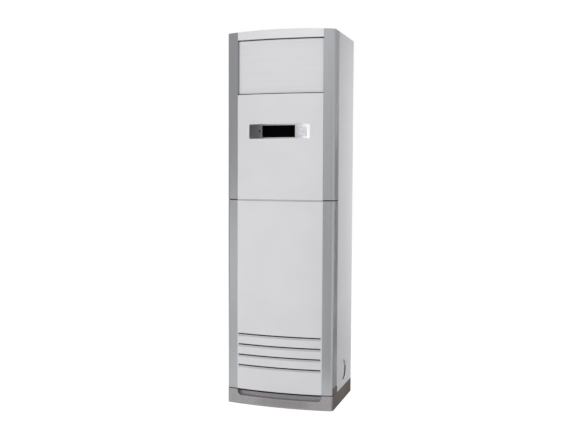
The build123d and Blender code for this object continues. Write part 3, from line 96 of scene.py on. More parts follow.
camera_data = bpy.data.cameras.new("photo_camera")
camera_data.sensor_fit = "HORIZONTAL"
camera_data.sensor_width = sensor_width
camera_data.lens = focal_pixels / photo_width * sensor_width
camera_data.clip_end = 60
camera = add_object("photo_camera", camera_data)
camera.matrix_world = Matrix.LocRotScale(
    eye, Matrix((right, up, -ahead)).transposed().to_quaternion(), None)
bpy.context.scene.camera = camera
bpy.context.scene.view_settings.view_transform = "Standard"
print("Lens in millimetres:", round(camera_data.lens, 2))

# %% [markdown]
# ## The world
# A cabinet like this is photographed in a white cove, with light from nearly everywhere. If
# the world were simply white, it would light the cabinet too strongly. So it shows pure
# white to the camera, to reflections and through anything clear, and gives a gentler grey
# to every other ray. A Light Path node tells these rays apart.

# %% World
ambient_strength = 0.52

world = bpy.data.worlds.new("studio")
bpy.context.scene.world = world
world.use_nodes = True
world_tree = world.node_tree
backdrop = world_tree.nodes["Background"]
backdrop.inputs["Color"].default_value = (1, 1, 1, 1)
rays = world_tree.nodes.new("ShaderNodeLightPath")
seen = world_tree.nodes.new("ShaderNodeMath")
seen.operation = "ADD"
seen_or_clear = world_tree.nodes.new("ShaderNodeMath")
seen_or_clear.operation = "ADD"
seen_or_clear.use_clamp = True
strength = world_tree.nodes.new("ShaderNodeMapRange")
strength.inputs["To Min"].default_value = ambient_strength
strength.inputs["To Max"].default_value = 1.0
world_tree.links.new(rays.outputs["Is Camera Ray"], seen.inputs[0])
world_tree.links.new(rays.outputs["Is Glossy Ray"], seen.inputs[1])
world_tree.links.new(seen.outputs[0], seen_or_clear.inputs[0])
world_tree.links.new(rays.outputs["Is Transmission Ray"], seen_or_clear.inputs[1])
world_tree.links.new(seen_or_clear.outputs[0], strength.inputs["Value"])
world_tree.links.new(strength.outputs["Result"], backdrop.inputs["Strength"])
print("Light from the world:", ambient_strength)


# %% [markdown]
# ## The lamps
# One large soft box stands at the front left, a tall narrow one behind lights the right
# flank, and a small one low down lights the foot of the cabinet. An area lamp is the right
# kind for a soft box, because its shadows are soft. The boxes are hidden from the camera
# and from reflections: what the gloss mirrors is given one by one after the floor.

# %% Lamps
def soft_box(name, place, aim, size, power):
    """An area lamp, so wide and so high, that faces a point and isn't seen in reflections."""
    lamp = bpy.data.lights.new(name, "AREA")
    lamp.shape = "RECTANGLE"
    lamp.size, lamp.size_y = size
    lamp.energy = power
    holder = add_object(name, lamp)
    holder.location = place
    holder.rotation_euler = (Vector(aim) - Vector(place)).to_track_quat("-Z", "Y").to_euler()
    holder.visible_glossy = False
    holder.visible_camera = False
    print(name, "in watts:", power)


soft_box("key_lamp", (-1.4, -6.9, 2.3), (0, 0, 0.95), (3.4, 3.4), 238)
soft_box("side_lamp", (0.72, 1.05, 1.05), (0.27, 0.15, 1.05), (0.3, 1.8), 18)
soft_box("low_lamp", (-1.7, -1.9, 0.3), (-0.2, -0.2, 0.3), (0.6, 0.6), 2.4)


# %% [markdown]
# ## The floor
# The floor is one large pale card under the cabinet. It glows a little, but only in the
# camera's view and in mirrors, so it looks as white as the backdrop and still takes the
# cabinet's shadow. A card is a one cell grid, stretched to the two sides it is given.

# %% Floor
def card(name, corner, across, rise):
    """A flat card from one corner and two sides."""
    shape = bmesh.new()
    bmesh.ops.create_grid(shape, x_segments=1, y_segments=1, size=0.5)
    middle = Vector(corner) + Vector(across) / 2 + Vector(rise) / 2
    sides = Matrix((across, rise, Vector(across).cross(Vector(rise)).normalized())).transposed()
    bmesh.ops.transform(shape, matrix=Matrix.Translation(middle) @ sides.to_4x4(), verts=shape.verts)
    mesh = bpy.data.meshes.new(name)
    shape.to_mesh(mesh)
    shape.free()
    piece = add_object(name, mesh)
    return piece


def studio_material(name, grey, glow):
    """A plain matt studio surface that can glow a little in the camera's view and in mirrors."""
    material = bpy.data.materials.new(name)
    material.use_nodes = True
    tree = material.node_tree
    shader = tree.nodes["Principled BSDF"]
    shader.inputs["Base Color"].default_value = (grey, grey, grey, 1)
    shader.inputs["Roughness"].default_value = 0.9
    shader.inputs["Specular IOR Level"].default_value = 0.0
    path = tree.nodes.new("ShaderNodeLightPath")
    either = tree.nodes.new("ShaderNodeMath")
    either.operation = "MAXIMUM"
    share = tree.nodes.new("ShaderNodeMath")
    share.operation = "MULTIPLY"
    share.inputs[1].default_value = glow
    tree.links.new(path.outputs["Is Camera Ray"], either.inputs[0])
    tree.links.new(path.outputs["Is Glossy Ray"], either.inputs[1])
    tree.links.new(either.outputs[0], share.inputs[0])
    shader.inputs["Emission Color"].default_value = (1, 1, 1, 1)
    tree.links.new(share.outputs[0], shader.inputs["Emission Strength"])
    return material


floor_half = 9

floor = card("floor", (-floor_half, -floor_half, 0), (2 * floor_half, 0, 0), (0, 2 * floor_half, 0))
floor.data.materials.append(studio_material("white_floor", 0.5, 0.78))
print("Floor half, in metres:", floor_half)


# %% [markdown]
# ## What the gloss mirrors
# Silver lacquer and bright metal show their shape by what they mirror. A photographer hangs
# dark and pale cards, called flags, just outside the picture. Here only reflections see
# them, so they can be placed without changing the light. The cards in front run from dark
# on the left and low down to bright on the right and high up, and give the posts and the
# display strip their slow change of tone. Those on the right keep the flank's foot darker
# than its top. Those on the floor darken the plinth and the feet of the posts.

# %% Flags
def flag(name, corner, across, rise, grey, glow=0.0):
    """A card that only reflections see."""
    piece = card(name, corner, across, rise)
    piece.data.materials.append(studio_material(name, grey, glow))
    piece.visible_camera = False
    piece.visible_diffuse = False
    piece.visible_shadow = False
    piece.visible_transmission = False
    print(name, "grey:", grey)


above_floor = 0.001

flag("front_flag", (-3.3, -1.9, 0.9), (1.72, -1.65, 0), (0, 0, 2.4), 0.10)
flag("middle_flag", (-1.58, -3.55, 0.9), (1.1, -0.1, 0), (0, 0, 2.4), 0.8)
flag("low_flag", (-0.05, -3.6, 0.0), (1.3, 0.3, 0), (0, 0, 0.8), 0.22)
flag("high_flag", (-0.05, -3.6, 0.8), (1.3, 0.3, 0), (0, 0, 1.25), 0.85)
flag("top_flag", (-0.05, -3.6, 2.05), (1.3, 0.3, 0), (0, 0, 1.5), 0.8, 0.8)
flag("strip_flag", (-1.0, -3.4, 1.25), (0.85, 0, 0), (0, 0, 0.35), 0.72)
flag("strip_end_flag", (-0.22, -3.4, 1.25), (0.45, 0, 0), (0, 0, 0.35), 0.9, 1.0)

flag("left_flag", (-3.3, 2.5, 0.0), (0, -4.4, 0), (0, 0, 3.2), 0.2)
flag("flank_flag", (0.2, 3.0, 0.0), (2.6, -0.3, 0), (0, 0, 1.4), 0.22)
flag("flank_top_flag", (0.2, 3.0, 1.4), (2.6, -0.3, 0), (0, 0, 1.4), 0.7)

flag("floor_flag", (0.275, -0.25, above_floor), (1.8, 0, 0), (0, 2.9, 0), 0.25)
flag("front_floor_flag", (0.2, -3.3, above_floor), (0.55, 0, 0), (0, 2.55, 0), 0.18)
flag("plinth_flag", (-0.13, -0.55, above_floor), (0.27, 0, 0), (0, 0.33, 0), 0.5, 0.2)
flag("left_floor_flag", (-2.4, -2.4, above_floor), (1.5, 0, 0), (0, 1.6, 0), 0.6)

# %% [markdown]
# ## Chips and patterns
# Every surface here is a maker's finish: gloss moulding, lacquer with metal flakes, powder
# coat, galvanised sheet. A flat colour would look like a toy, because real plastic and
# paint vary a little from place to place. Each finish starts from a paint chip, written as
# 0 to 255 values that Blender needs as linear light, and from a pattern: cloudy noise, or
# cells that each have a value of their own. Patterns lie on Object coordinates, in metres,
# so that their grain has its real size and rides with the piece.


# %% Chips and patterns
finishes = {}


def chip(red, green, blue):
    """A paint chip's 0 to 255 colour as Blender's linear colour."""
    linear = []
    for value in (red, green, blue):
        share = value / 255
        linear.append(share / 12.92 if share <= 0.04045 else ((share + 0.055) / 1.055) ** 2.4)
    return (*linear, 1.0)


def start_finish(name):
    """A new finish: its tree, its shader and the piece's own coordinates."""
    material = bpy.data.materials.new(name)
    material.use_nodes = True
    finishes[name] = material
    tree = material.node_tree
    place = tree.nodes.new("ShaderNodeTexCoord").outputs["Object"]
    return tree, tree.nodes["Principled BSDF"], place


def noise(tree, place, scale, detail=2.0, stretch=None):
    """Cloudy noise with so many blotches per metre, stretched along an axis if asked."""
    if stretch:
        mapping = tree.nodes.new("ShaderNodeMapping")
        mapping.inputs["Scale"].default_value = stretch
        tree.links.new(place, mapping.inputs["Vector"])
        place = mapping.outputs["Vector"]
    texture = tree.nodes.new("ShaderNodeTexNoise")
    texture.inputs["Scale"].default_value = scale
    texture.inputs["Detail"].default_value = detail
    tree.links.new(place, texture.inputs["Vector"])
    return texture.outputs["Fac"]


def cells(tree, place, scale):
    """A random value per cell, with so many cells per metre."""
    texture = tree.nodes.new("ShaderNodeTexVoronoi")
    texture.inputs["Scale"].default_value = scale
    tree.links.new(place, texture.inputs["Vector"])
    split = tree.nodes.new("ShaderNodeSeparateColor")
    tree.links.new(texture.outputs["Color"], split.inputs["Color"])
    return split.outputs["Red"]


def blend(tree, first, second, share):
    """Mix two patterns, with a share of the second."""
    mix = tree.nodes.new("ShaderNodeMix")
    mix.inputs["Factor"].default_value = share
    tree.links.new(first, mix.inputs["A"])
    tree.links.new(second, mix.inputs["B"])
    return mix.outputs["Result"]


print("Chip 215 as linear light:", round(chip(215, 215, 215)[0], 3))


# %% [markdown]
# ## What a pattern does
# A real surface varies in three ways: in colour, in gloss and in relief. A Color Ramp
# spreads a pattern over two chips, a Map Range swings the roughness between two values, and
# a Bump node presses the pattern in. The relief is a fraction of a millimetre deep, too
# small for real geometry.

# %% Colour, gloss and relief
ramp_start = 0.25
ramp_end = 0.75


def tint(tree, pattern, dark, light, shader):
    """Colour a surface with a blend of two chips."""
    ramp = tree.nodes.new("ShaderNodeValToRGB")
    ramp.color_ramp.elements[0].position = ramp_start
    ramp.color_ramp.elements[1].position = ramp_end
    ramp.color_ramp.elements[0].color = dark
    ramp.color_ramp.elements[1].color = light
    tree.links.new(pattern, ramp.inputs["Fac"])
    tree.links.new(ramp.outputs["Color"], shader.inputs["Base Color"])


def polish(tree, pattern, roughness, spread, shader):
    """Let the roughness swing by a spread to both sides."""
    span = tree.nodes.new("ShaderNodeMapRange")
    span.inputs["To Min"].default_value = roughness - spread
    span.inputs["To Max"].default_value = roughness + spread
    tree.links.new(pattern, span.inputs["Value"])
    tree.links.new(span.outputs["Result"], shader.inputs["Roughness"])


def relief(tree, pattern, depth, shader, strength=0.3):
    """Press a pattern into the surface, to a depth in metres."""
    bump = tree.nodes.new("ShaderNodeBump")
    bump.inputs["Distance"].default_value = depth
    bump.inputs["Strength"].default_value = strength
    tree.links.new(pattern, bump.inputs["Height"])
    tree.links.new(bump.outputs["Normal"], shader.inputs["Normal"])


print("Share of a pattern between the two chips:", ramp_end - ramp_start)


# %% [markdown]
# ## Moulded plastics
# The covers, the louvres, the keys and the filter's frame are injection moulded. Moulded
# plastic is nearly even: its colour drifts by a few steps over a hand's width, its gloss
# varies, and spark erosion in the mould leaves a grain of fine bumps. A coat stands for the
# clear gloss of the best covers. The display's window is so dark and so clear that it keeps
# almost no reflection of its own.

# %% Moulded plastics
colour_drift = 6.0
gloss_drift = 40.0
fine_detail = 3.0
coat_roughness = 0.15


def moulding(name, dark, light, roughness, grain, depth, coat=0.0, spread=0.05, specular=0.5):
    """Moulded plastic: faint cloudiness, a grain of so many bumps per metre, an optional gloss."""
    tree, shader, place = start_finish(name)
    tint(tree, noise(tree, place, colour_drift), dark, light, shader)
    polish(tree, noise(tree, place, gloss_drift), roughness, spread, shader)
    relief(tree, noise(tree, place, grain, fine_detail), depth, shader)
    shader.inputs["Specular IOR Level"].default_value = specular
    shader.inputs["Coat Weight"].default_value = coat
    shader.inputs["Coat Roughness"].default_value = coat_roughness


moulding("panel_white", chip(215, 215, 218), chip(220, 220, 223), 0.34, 260, 0.00012, coat=0.1)
# slope_painted_shade: painted shade on the faces that lean inward under the intake slots.
moulding("slope_painted_shade", chip(196, 196, 198), chip(200, 200, 203), 0.6, 900, 0.0003)
moulding("key_grey", chip(214, 215, 220), chip(222, 223, 228), 0.3, 600, 0.0001)
moulding("button_dark", chip(36, 36, 39), chip(42, 42, 45), 0.3, 500, 0.00005, specular=0.3)
moulding("window_dark", chip(2, 2, 3), chip(4, 4, 5), 0.12, 120, 0.00002, spread=0.03, specular=0.02)
moulding("seam_beige", chip(176, 177, 168), chip(184, 185, 176), 0.4, 600, 0.0001)
# dark_brown_base: the darker brownish grey of the plinth's sides and ears and of the posts' feet.
moulding("dark_brown_base", chip(92, 84, 80), chip(112, 104, 99), 0.62, 700, 0.0005, spread=0.08)
moulding("louvre_white", chip(200, 201, 203), chip(208, 209, 211), 0.45, 700, 0.00015)
moulding("inner_black", chip(40, 40, 42), chip(48, 48, 50), 0.5, 900, 0.0002)
moulding("gear_white", chip(228, 225, 214), chip(235, 232, 222), 0.42, 500, 0.0001)
moulding("wheel_grey", chip(92, 95, 99), chip(103, 106, 111), 0.5, 700, 0.0002)
moulding("filter_plastic", chip(96, 118, 140), chip(105, 128, 150), 0.5, 700, 0.0002)
moulding("pan_white", chip(206, 208, 206), chip(214, 216, 214), 0.5, 500, 0.0002)
# black_rubber_and_painted_shade: real black rubber for the gaskets and wiper, and painted shade in the
# slots, post seams and pipe ring.
moulding("black_rubber_and_painted_shade", chip(24, 24, 25), chip(31, 31, 32), 0.7, 600, 0.0003, specular=0.3)
print("Mouldings:", len(finishes))


# %% [markdown]
# ## Plastic with drawn lines
# The sliding door and the bar above it carry a film with fine level lines, a few
# millimetres apart. Noise that is stretched almost without end along X and Y, and left as
# it is along Z, gives such lines. They vary the colour a little and the gloss with it.

# %% Drawn film
film_lines = 260.0
line_stretch = (0.008, 0.008, 1)
line_share = 0.7
film_grain = 260.0


def drawn_moulding(name, dark, light, roughness, coat):
    """Moulded plastic under a film with fine level lines."""
    tree, shader, place = start_finish(name)
    lines = noise(tree, place, film_lines, 2.0, line_stretch)
    tint(tree, blend(tree, noise(tree, place, colour_drift), lines, line_share), dark, light, shader)
    polish(tree, lines, roughness, 0.05, shader)
    relief(tree, noise(tree, place, film_grain, fine_detail), 0.00012, shader)
    shader.inputs["Coat Weight"].default_value = coat
    shader.inputs["Coat Roughness"].default_value = coat_roughness


drawn_moulding("drawn_white", chip(215, 215, 218), chip(222, 222, 225), 0.34, 0.1)
drawn_moulding("bar_white", chip(222, 222, 225), chip(229, 229, 232), 0.3, 0.85)
print("Film's lines per metre:", film_lines)


# %% [markdown]
# ## Lacquer and powder coat
# The posts and the plinth are sprayed with silver lacquer. Its flakes lie at random, so a
# cell pattern about a millimetre wide varies them one by one, and on the posts an upright
# drawn grain is blended in. The finish is partly metallic and fairly smooth, and takes its
# depth from the flags. The side sheets and the lid are powder coated: matt, with a soft
# pebbled skin.

# %% Lacquer and powder coat
drawn_scale = 420.0
upright_stretch = (1, 1, 0.004)


def lacquer(name, dark, light, roughness, metal, flakes, depth, streak=0.0):
    """Lacquer with so many flakes per metre and a share of upright drawn grain."""
    tree, shader, place = start_finish(name)
    grain = noise(tree, place, drawn_scale, 2.0, upright_stretch)
    tint(tree, blend(tree, cells(tree, place, flakes), grain, streak), dark, light, shader)
    polish(tree, noise(tree, place, 30.0), roughness, 0.04, shader)
    relief(tree, noise(tree, place, 700.0, fine_detail), depth, shader)
    shader.inputs["Metallic"].default_value = metal


def powder_coat(name, dark, light, roughness):
    """Baked powder coat: a soft pebbled skin, a millimetre or two from bump to bump."""
    tree, shader, place = start_finish(name)
    tint(tree, noise(tree, place, 5.0), dark, light, shader)
    polish(tree, noise(tree, place, 60.0), roughness, 0.05, shader)
    relief(tree, noise(tree, place, 550.0, 2.0), 0.0003, shader)


lacquer("post_silver", chip(166, 167, 170), chip(182, 183, 186), 0.3, 0.42, 1500, 0.00006, streak=0.6)
lacquer("base_grey", chip(145, 141, 143), chip(170, 167, 170), 0.36, 0.35, 700, 0.00012)
# recess_painted_shade: painted shade for the plinth's hand recess, under the panel's foot.
lacquer("recess_painted_shade", chip(146, 142, 144), chip(164, 160, 162), 0.45, 0.25, 700, 0.00012)
lacquer("motor_case", chip(62, 64, 67), chip(76, 78, 82), 0.45, 0.2, 800, 0.0002)
powder_coat("sheet_grey", chip(206, 206, 208), chip(211, 211, 213), 0.5)
print("Finishes with the painted ones:", len(finishes))


# %% [markdown]
# ## Bare metals
# The rear panel and the sheets inside are galvanised: zinc freezes in crystals, called
# spangles, and a cell pattern eight millimetres wide shows them. The other metals are drawn
# or rolled, so their pattern is noise stretched along one axis. The display strip's bezel
# is brushed level and bright, and mirrors the flags in front of it.

# %% Bare metals
def bare_metal(name, dark, light, roughness, scale, stretch=None):
    """Bare metal with spangles, or with a drawn grain where its pattern is stretched."""
    tree, shader, place = start_finish(name)
    if stretch:
        pattern = noise(tree, place, scale, fine_detail, stretch)
    else:
        pattern = cells(tree, place, scale)
    tint(tree, pattern, dark, light, shader)
    polish(tree, pattern, roughness, 0.06, shader)
    relief(tree, noise(tree, place, 400.0, fine_detail), 0.00008, shader)
    shader.inputs["Metallic"].default_value = 1.0


bare_metal("zinc", chip(184, 188, 191), chip(195, 199, 203), 0.42, 130)
bare_metal("bezel_bright", chip(247, 247, 252), chip(253, 253, 255), 0.18, 25, (1, 8, 8))
bare_metal("shaft_steel", chip(188, 190, 194), chip(204, 206, 210), 0.28, 300, (0.05, 1, 1))
bare_metal("fin_aluminium", chip(206, 210, 214), chip(220, 223, 227), 0.36, 60, (1, 1, 0.1))
bare_metal("copper", chip(198, 122, 88), chip(222, 146, 108), 0.3, 40, (1, 1, 0.2))
bare_metal("brass", chip(196, 160, 86), chip(216, 180, 104), 0.28, 200, (1, 1, 0.1))
print("Finishes with the metals:", len(finishes))


# %% [markdown]
# ## Circuit board, foam and net
# Three finishes are made one by one, because each has a pattern of its own. Solder mask
# lets the copper tracks show through as lighter stripes. Expanded foam is pressed beads, so
# the distance to the middle of each cell makes its relief. The net's threads only drift in
# colour, under a relief as fine as their own fibres.

# %% Circuit board, foam and net
beads_per_metre = 260
fibres_per_metre = 2500.0


def board_finish():
    """Green solder mask over copper tracks, with pads where parts are soldered."""
    tree, shader, place = start_finish("board_green")
    tracks = noise(tree, place, 180.0, 0.0, (1, 1, 0.2))
    pads = cells(tree, place, 260.0)
    tint(tree, tracks, chip(16, 74, 42), chip(34, 104, 60), shader)
    polish(tree, pads, 0.35, 0.1, shader)
    relief(tree, pads, 0.0001, shader)


def foam_finish():
    """Expanded foam: a skin of beads a few millimetres wide."""
    tree, shader, place = start_finish("foam")
    beads = tree.nodes.new("ShaderNodeTexVoronoi")
    beads.inputs["Scale"].default_value = beads_per_metre
    tree.links.new(place, beads.inputs["Vector"])
    tint(tree, noise(tree, place, 20.0), chip(226, 226, 220), chip(236, 236, 231), shader)
    shader.inputs["Roughness"].default_value = 0.85
    relief(tree, beads.outputs["Distance"], 0.0012, shader, 0.5)


def net_finish():
    """Dark threads of the filter net."""
    tree, shader, place = start_finish("filter_net")
    tint(tree, noise(tree, place, 300.0), chip(58, 62, 70), chip(78, 84, 94), shader)
    shader.inputs["Roughness"].default_value = 0.7
    relief(tree, noise(tree, place, fibres_per_metre), 0.0001, shader)


board_finish()
foam_finish()
net_finish()
print("All finishes:", len(finishes))

# %% [markdown]
# ## A finish for every piece
# Each piece of a real cabinet has one main finish, and the record names it for each packed
# solid. All of them are given it now, in one loop, so that nothing stays plain grey. The
# softened copies that follow take the same one.

# %% First coat
for node, slot_name in slots_by_node.items():
    nodes[node].data.materials.clear()
    nodes[node].data.materials.append(finishes[slot_name])
print("Pieces with a finish:", len(slots_by_node))

# %% [markdown]
# ## Softened edges
# No moulded or folded edge is truly sharp: a real one has a radius of half a millimetre or
# more, and the thin highlight along it is what makes a cover look real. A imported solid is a
# net of loose triangles, so each cover is a copy whose triangles are merged and whose flat
# faces are joined again. A Bevel modifier then rounds every edge that turns sharply, and
# weighted normals keep the flat faces flat next to the new rounded strips.

# %% Softened copies
sharp_turn = radians(32)
flat_turn = radians(0.3)
merge_distance = 1e-6
edge_segments = 2
softened = {}


def merged_copy(node):
    """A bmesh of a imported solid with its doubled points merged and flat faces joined."""
    shape = bmesh.new()
    shape.from_mesh(nodes[node].data)
    bmesh.ops.remove_doubles(shape, verts=shape.verts, dist=merge_distance)
    bmesh.ops.dissolve_limit(shape, angle_limit=flat_turn, verts=shape.verts, edges=shape.edges)
    return shape


def finish_piece(name, shape, slot_name, body, edge=0.0, finish=None):
    """Turn a bmesh into a named piece that rides on a body, with its edges rounded."""
    mesh = bpy.data.meshes.new(name)
    shape.to_mesh(mesh)
    shape.free()
    mesh.materials.append(finishes[finish or slot_name])
    for face in mesh.polygons:
        face.use_smooth = True
    mesh.set_sharp_from_angle(angle=sharp_turn)
    piece = add_object(name, mesh)
    if edge:
        bevel = piece.modifiers.new("edge", "BEVEL")
        bevel.width = edge
        bevel.segments = edge_segments
        bevel.limit_method = "ANGLE"
        bevel.angle_limit = sharp_turn
        bevel.use_clamp_overlap = False
        bevel.harden_normals = True
    weighted = piece.modifiers.new("flat_faces", "WEIGHTED_NORMAL")
    weighted.keep_sharp = True
    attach(piece, body)
    return piece


def soften(node, edge):
    """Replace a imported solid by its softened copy."""
    piece = finish_piece(node + "_finished", merged_copy(node), slots_by_node[node],
                         bodies_by_node[node], edge)
    softened[node] = piece
    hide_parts(node)


sample = merged_copy("lower_panel")
print("Lower panel:", len(nodes["lower_panel"].data.polygons), "triangles,",
      len(sample.faces), "faces once merged")
sample.free()

# %% [markdown]
# ## The outer covers
# Each cover has its own edge radius, in metres: the folded sheets and the small pieces of
# the display strip about a third of a millimetre, the mouldings twice that, and the top
# cover a full millimetre. The sliding door and the top bar get the film with the drawn
# lines.

# %% Outer covers
outer_covers = {
    "base_plinth": 0.0007,
    "lower_panel": 0.0006,
    "display_panel": 0.0006,
    "top_bar": 0.0008,
    "top_cover": 0.0010,
    "upper_post_right": 0.0008,
    "upper_post_left": 0.0008,
    "lower_post_right": 0.0008,
    "lower_post_left": 0.0008,
    "outlet_door": 0.0007,
    "display_bezel": 0.0003,
    "display_window": 0.0003,
    "power_button": 0.0003,
    "key_down": 0.0003,
    "key_up": 0.0003,
    "left_side_panel": 0.0004,
    "right_side_panel": 0.0004,
    "rear_panel": 0.0004,
    "knockout_plate": 0.0003,
    "mid_rail": 0.0003,
}
for node, edge in outer_covers.items():
    soften(node, edge)
softened["outlet_door"].data.materials[0] = finishes["drawn_white"]
softened["top_bar"].data.materials[0] = finishes["bar_white"]
print("Softened covers:", len(outer_covers))

# %% [markdown]
# ## Two finishes on one piece
# The plinth is painted silver on its bowed front, while its sides and ears are a darker
# brownish grey, and so are the feet of the posts' flanks. The plinth's hand recess is
# painted darker, as painted shade under the panel. Cutting such a piece in two would put a
# seam where there is none, so each face of the softened copy picks its finish by where it
# lies and which way it faces. Where a finish ends in the middle of a face, the face is first
# cut along a plane.


# %% Plinth and the posts' feet
def repaint(node, finish, chosen):
    """Give a second finish to the faces whose middle and normal pass a test."""
    mesh = softened[node].data
    mesh.materials.append(finishes[finish])
    painted = 0
    for face in mesh.polygons:
        if chosen(face.center, face.normal):
            face.material_index = len(mesh.materials) - 1
            painted += 1
    print(node, "faces in", finish + ":", painted)


def split_at(node, place, normal):
    """Cut a piece's faces along a plane, so that each side can have its own finish."""
    shape = bmesh.new()
    shape.from_mesh(softened[node].data)
    bmesh.ops.bisect_plane(shape, geom=shape.verts[:] + shape.edges[:] + shape.faces[:],
                           dist=merge_distance, plane_co=place, plane_no=normal)
    shape.to_mesh(softened[node].data)
    shape.free()


darker_above_ears = 0.008
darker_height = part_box("base_plinth")[1][2] + darker_above_ears
flank_start = 0.2690
painted_height = 0.0725
recess_front = -0.1885
recess_low = 0.02
recess_half = 0.2

# The feet of the posts' flanks and the plinth's sides and ears get the darker brownish grey.
for side, way in (("left", -1), ("right", 1)):
    post = f"lower_post_{side}"
    split_at(post, (0, 0, darker_height), (0, 0, 1))
    repaint(post, "dark_brown_base",
            lambda middle, normal: middle.z < darker_height and normal.x * way > 0.85)
repaint("base_plinth", "dark_brown_base",
        lambda middle, normal: abs(middle.x) > flank_start or middle.z > painted_height)
# The hand recess: painted shade, as a darker lacquer.
repaint("base_plinth", "recess_painted_shade",
        lambda middle, normal: middle.y > recess_front and normal.y < -0.5
        and recess_low < middle.z < painted_height and abs(middle.x) < recess_half)

# %% [markdown]
# ## Slots, seam and pipe outlet
# The walls of the four intake slots are painted black, as painted shade for walls that one
# sees unlit, and the face that leans inward under each slot is painted a little darker than
# the panel, as painted shade. The tongue in the seam of the corner posts is painted black,
# as painted shade, so that the seam reads as a dark line. The plate of the pipe knock-out
# lies a few millimetres deep in a sealing ring, whose lower half shows in the photograph as
# a black arc, so the front few millimetres of that lower half are painted black, as painted
# shade of the ring's walls.

# %% Slots, seam and pipe outlet
slot_first = 0.1958
slot_pitch = 0.05173
slot_count = 4
slot_reach = 0.003
slope_drop = 0.00775
slope_reach = 0.004
tongue_height = 0.0085
ring_depth = 0.0045
ring_inside = 0.0495
outlet_middle = Vector((0.032, 0.155))

slot_heights = [slot_first + slot_pitch * number for number in range(slot_count)]
seam_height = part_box("upper_post_right")[0][2] + tongue_height
ring_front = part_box("knockout_plate")[1][0] - ring_depth
ring_height = outlet_middle.y + 0.01


def near_a_slot(height, reach):
    """Whether a height lies within reach of a slot's own."""
    return min(abs(height - slot) for slot in slot_heights) < reach


# Slot walls: painted shade, in black.
repaint("lower_panel", "black_rubber_and_painted_shade",
        lambda middle, normal: abs(normal.z) > 0.9 and near_a_slot(middle.z, slot_reach))
# Slopes under the slots: painted shade, a little darker than the panel.
repaint("lower_panel", "slope_painted_shade",
        lambda middle, normal: normal.z < -0.25 and near_a_slot(middle.z + slope_drop, slope_reach))
# Seam tongues: painted shade, in black.
for side in ("left", "right"):
    repaint(f"upper_post_{side}", "black_rubber_and_painted_shade", lambda middle, normal: middle.z < seam_height)
# Lower half of the ring's front: painted shade, in black.
split_at("knockout_plate", (ring_front, 0, 0), (1, 0, 0))
repaint("knockout_plate", "black_rubber_and_painted_shade",
        lambda middle, normal: middle.x > ring_front and middle.z < ring_height
        and (middle.yz - outlet_middle).length > ring_inside)


# %% [markdown]
# ## Gaskets and wiper
# Under the lower panel and its posts lies a black rubber gasket, and a black wiper stands on
# the display panel, where the door slides in. Each is a real seal and also a dark fill that
# stands in for the shade in its gap, as painted shade. A curve could be drawn for each, but
# a real strip follows the cover's own rim. So each strip starts from the rim's flat face,
# which is moved to the strip's foot, a little back, and extruded upwards.

# %% Gaskets and wiper
same_height = 1e-5


def rim_strip(node, name, rim, shift, low, high):
    """A rubber strip that follows a cover's rim at one height, a little set back."""
    shape = merged_copy(node)
    away = [face for face in shape.faces if abs(face.calc_center_median().z - rim) > same_height]
    bmesh.ops.delete(shape, geom=away, context="FACES")
    bmesh.ops.translate(shape, verts=shape.verts, vec=(*shift, low - rim))
    risen = bmesh.ops.extrude_face_region(shape, geom=shape.faces[:])
    raised = [item for item in risen["geom"] if isinstance(item, bmesh.types.BMVert)]
    bmesh.ops.translate(shape, verts=raised, vec=(0, 0, high - low))
    bmesh.ops.recalc_face_normals(shape, faces=shape.faces)
    finish_piece(name, shape, "inner_black", "cabinet", finish="black_rubber_and_painted_shade")
    print(name, "height in millimetres:", round(1000 * (high - low), 1))


set_back = 0.0010
wiper_back = 0.0015
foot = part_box("lower_post_right")[0][2]
outlet_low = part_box("display_panel")[1][2]
panel_gasket = (foot - 0.007, foot - 0.0021)
post_gasket = (foot - 0.004, foot - 0.0004)
wiper = (outlet_low, outlet_low + 0.0035)

# Black strips in the gaps: real seals, and painted shade for the gaps.
rim_strip("lower_panel", "panel_foot_gasket", foot, (0, set_back), *panel_gasket)
rim_strip("lower_post_right", "right_foot_gasket", foot, (-set_back, set_back), *post_gasket)
rim_strip("lower_post_left", "left_foot_gasket", foot, (set_back, set_back), *post_gasket)
rim_strip("display_panel", "door_wiper", outlet_low, (0, wiper_back), *wiper)

# %% [markdown]
# ## The pieces inside
# With the door down, the filter raised or the lower section tipped forward the inside
# shows, so it gets the same care. Folded sheet has a small radius, moulded frames are
# rounder, and gear teeth keep the finest edges of all.

# %% Softened inner pieces
inner_pieces = {
    "base_pan": 0.0003, "front_bulkhead": 0.0003, "fan_deck": 0.0003, "motor_bracket": 0.0003,
    "control_box": 0.0003, "control_cover": 0.0003, "coil_end_plates": 0.0002,
    "volute_front": 0.0003, "volute_housing": 0.0003, "fan_wheel": 0.0002, "fan_shaft": 0.0004,
    "fan_motor": 0.0005, "door_motor": 0.0004, "door_racks": 0.00012, "pinion_shaft": 0.00012,
    "door_guides": 0.0002, "outlet_frame": 0.0004, "filter_frame": 0.0004, "drain_pan": 0.0004,
    "side_liners": 0.0010, "coil_bends": 0.0001, "refrigerant_pipes": 0.0001,
    "flare_unions": 0.0003, "display_board": 0.0001, "control_electrics": 0.0002,
    "louvre_link": 0.0003, "vane_link": 0.0003,
}
blade_edge = 0.0004
for number in range(1, 6):
    inner_pieces[f"louvre_{number}"] = blade_edge
    inner_pieces[f"vane_{number}"] = blade_edge
for node, edge in inner_pieces.items():
    soften(node, edge)
print("Softened inner pieces:", len(inner_pieces))

# %% [markdown]
# ## The coil's fins
# An evaporator is a stack of thin aluminium fins threaded on copper tubes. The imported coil
# is one solid block. Its fins are all alike, so only one is made: a rippled grid laid along
# the leaning coil. A Solidify modifier gives it its thickness, and an Array modifier
# repeats it every two millimetres across the cabinet.

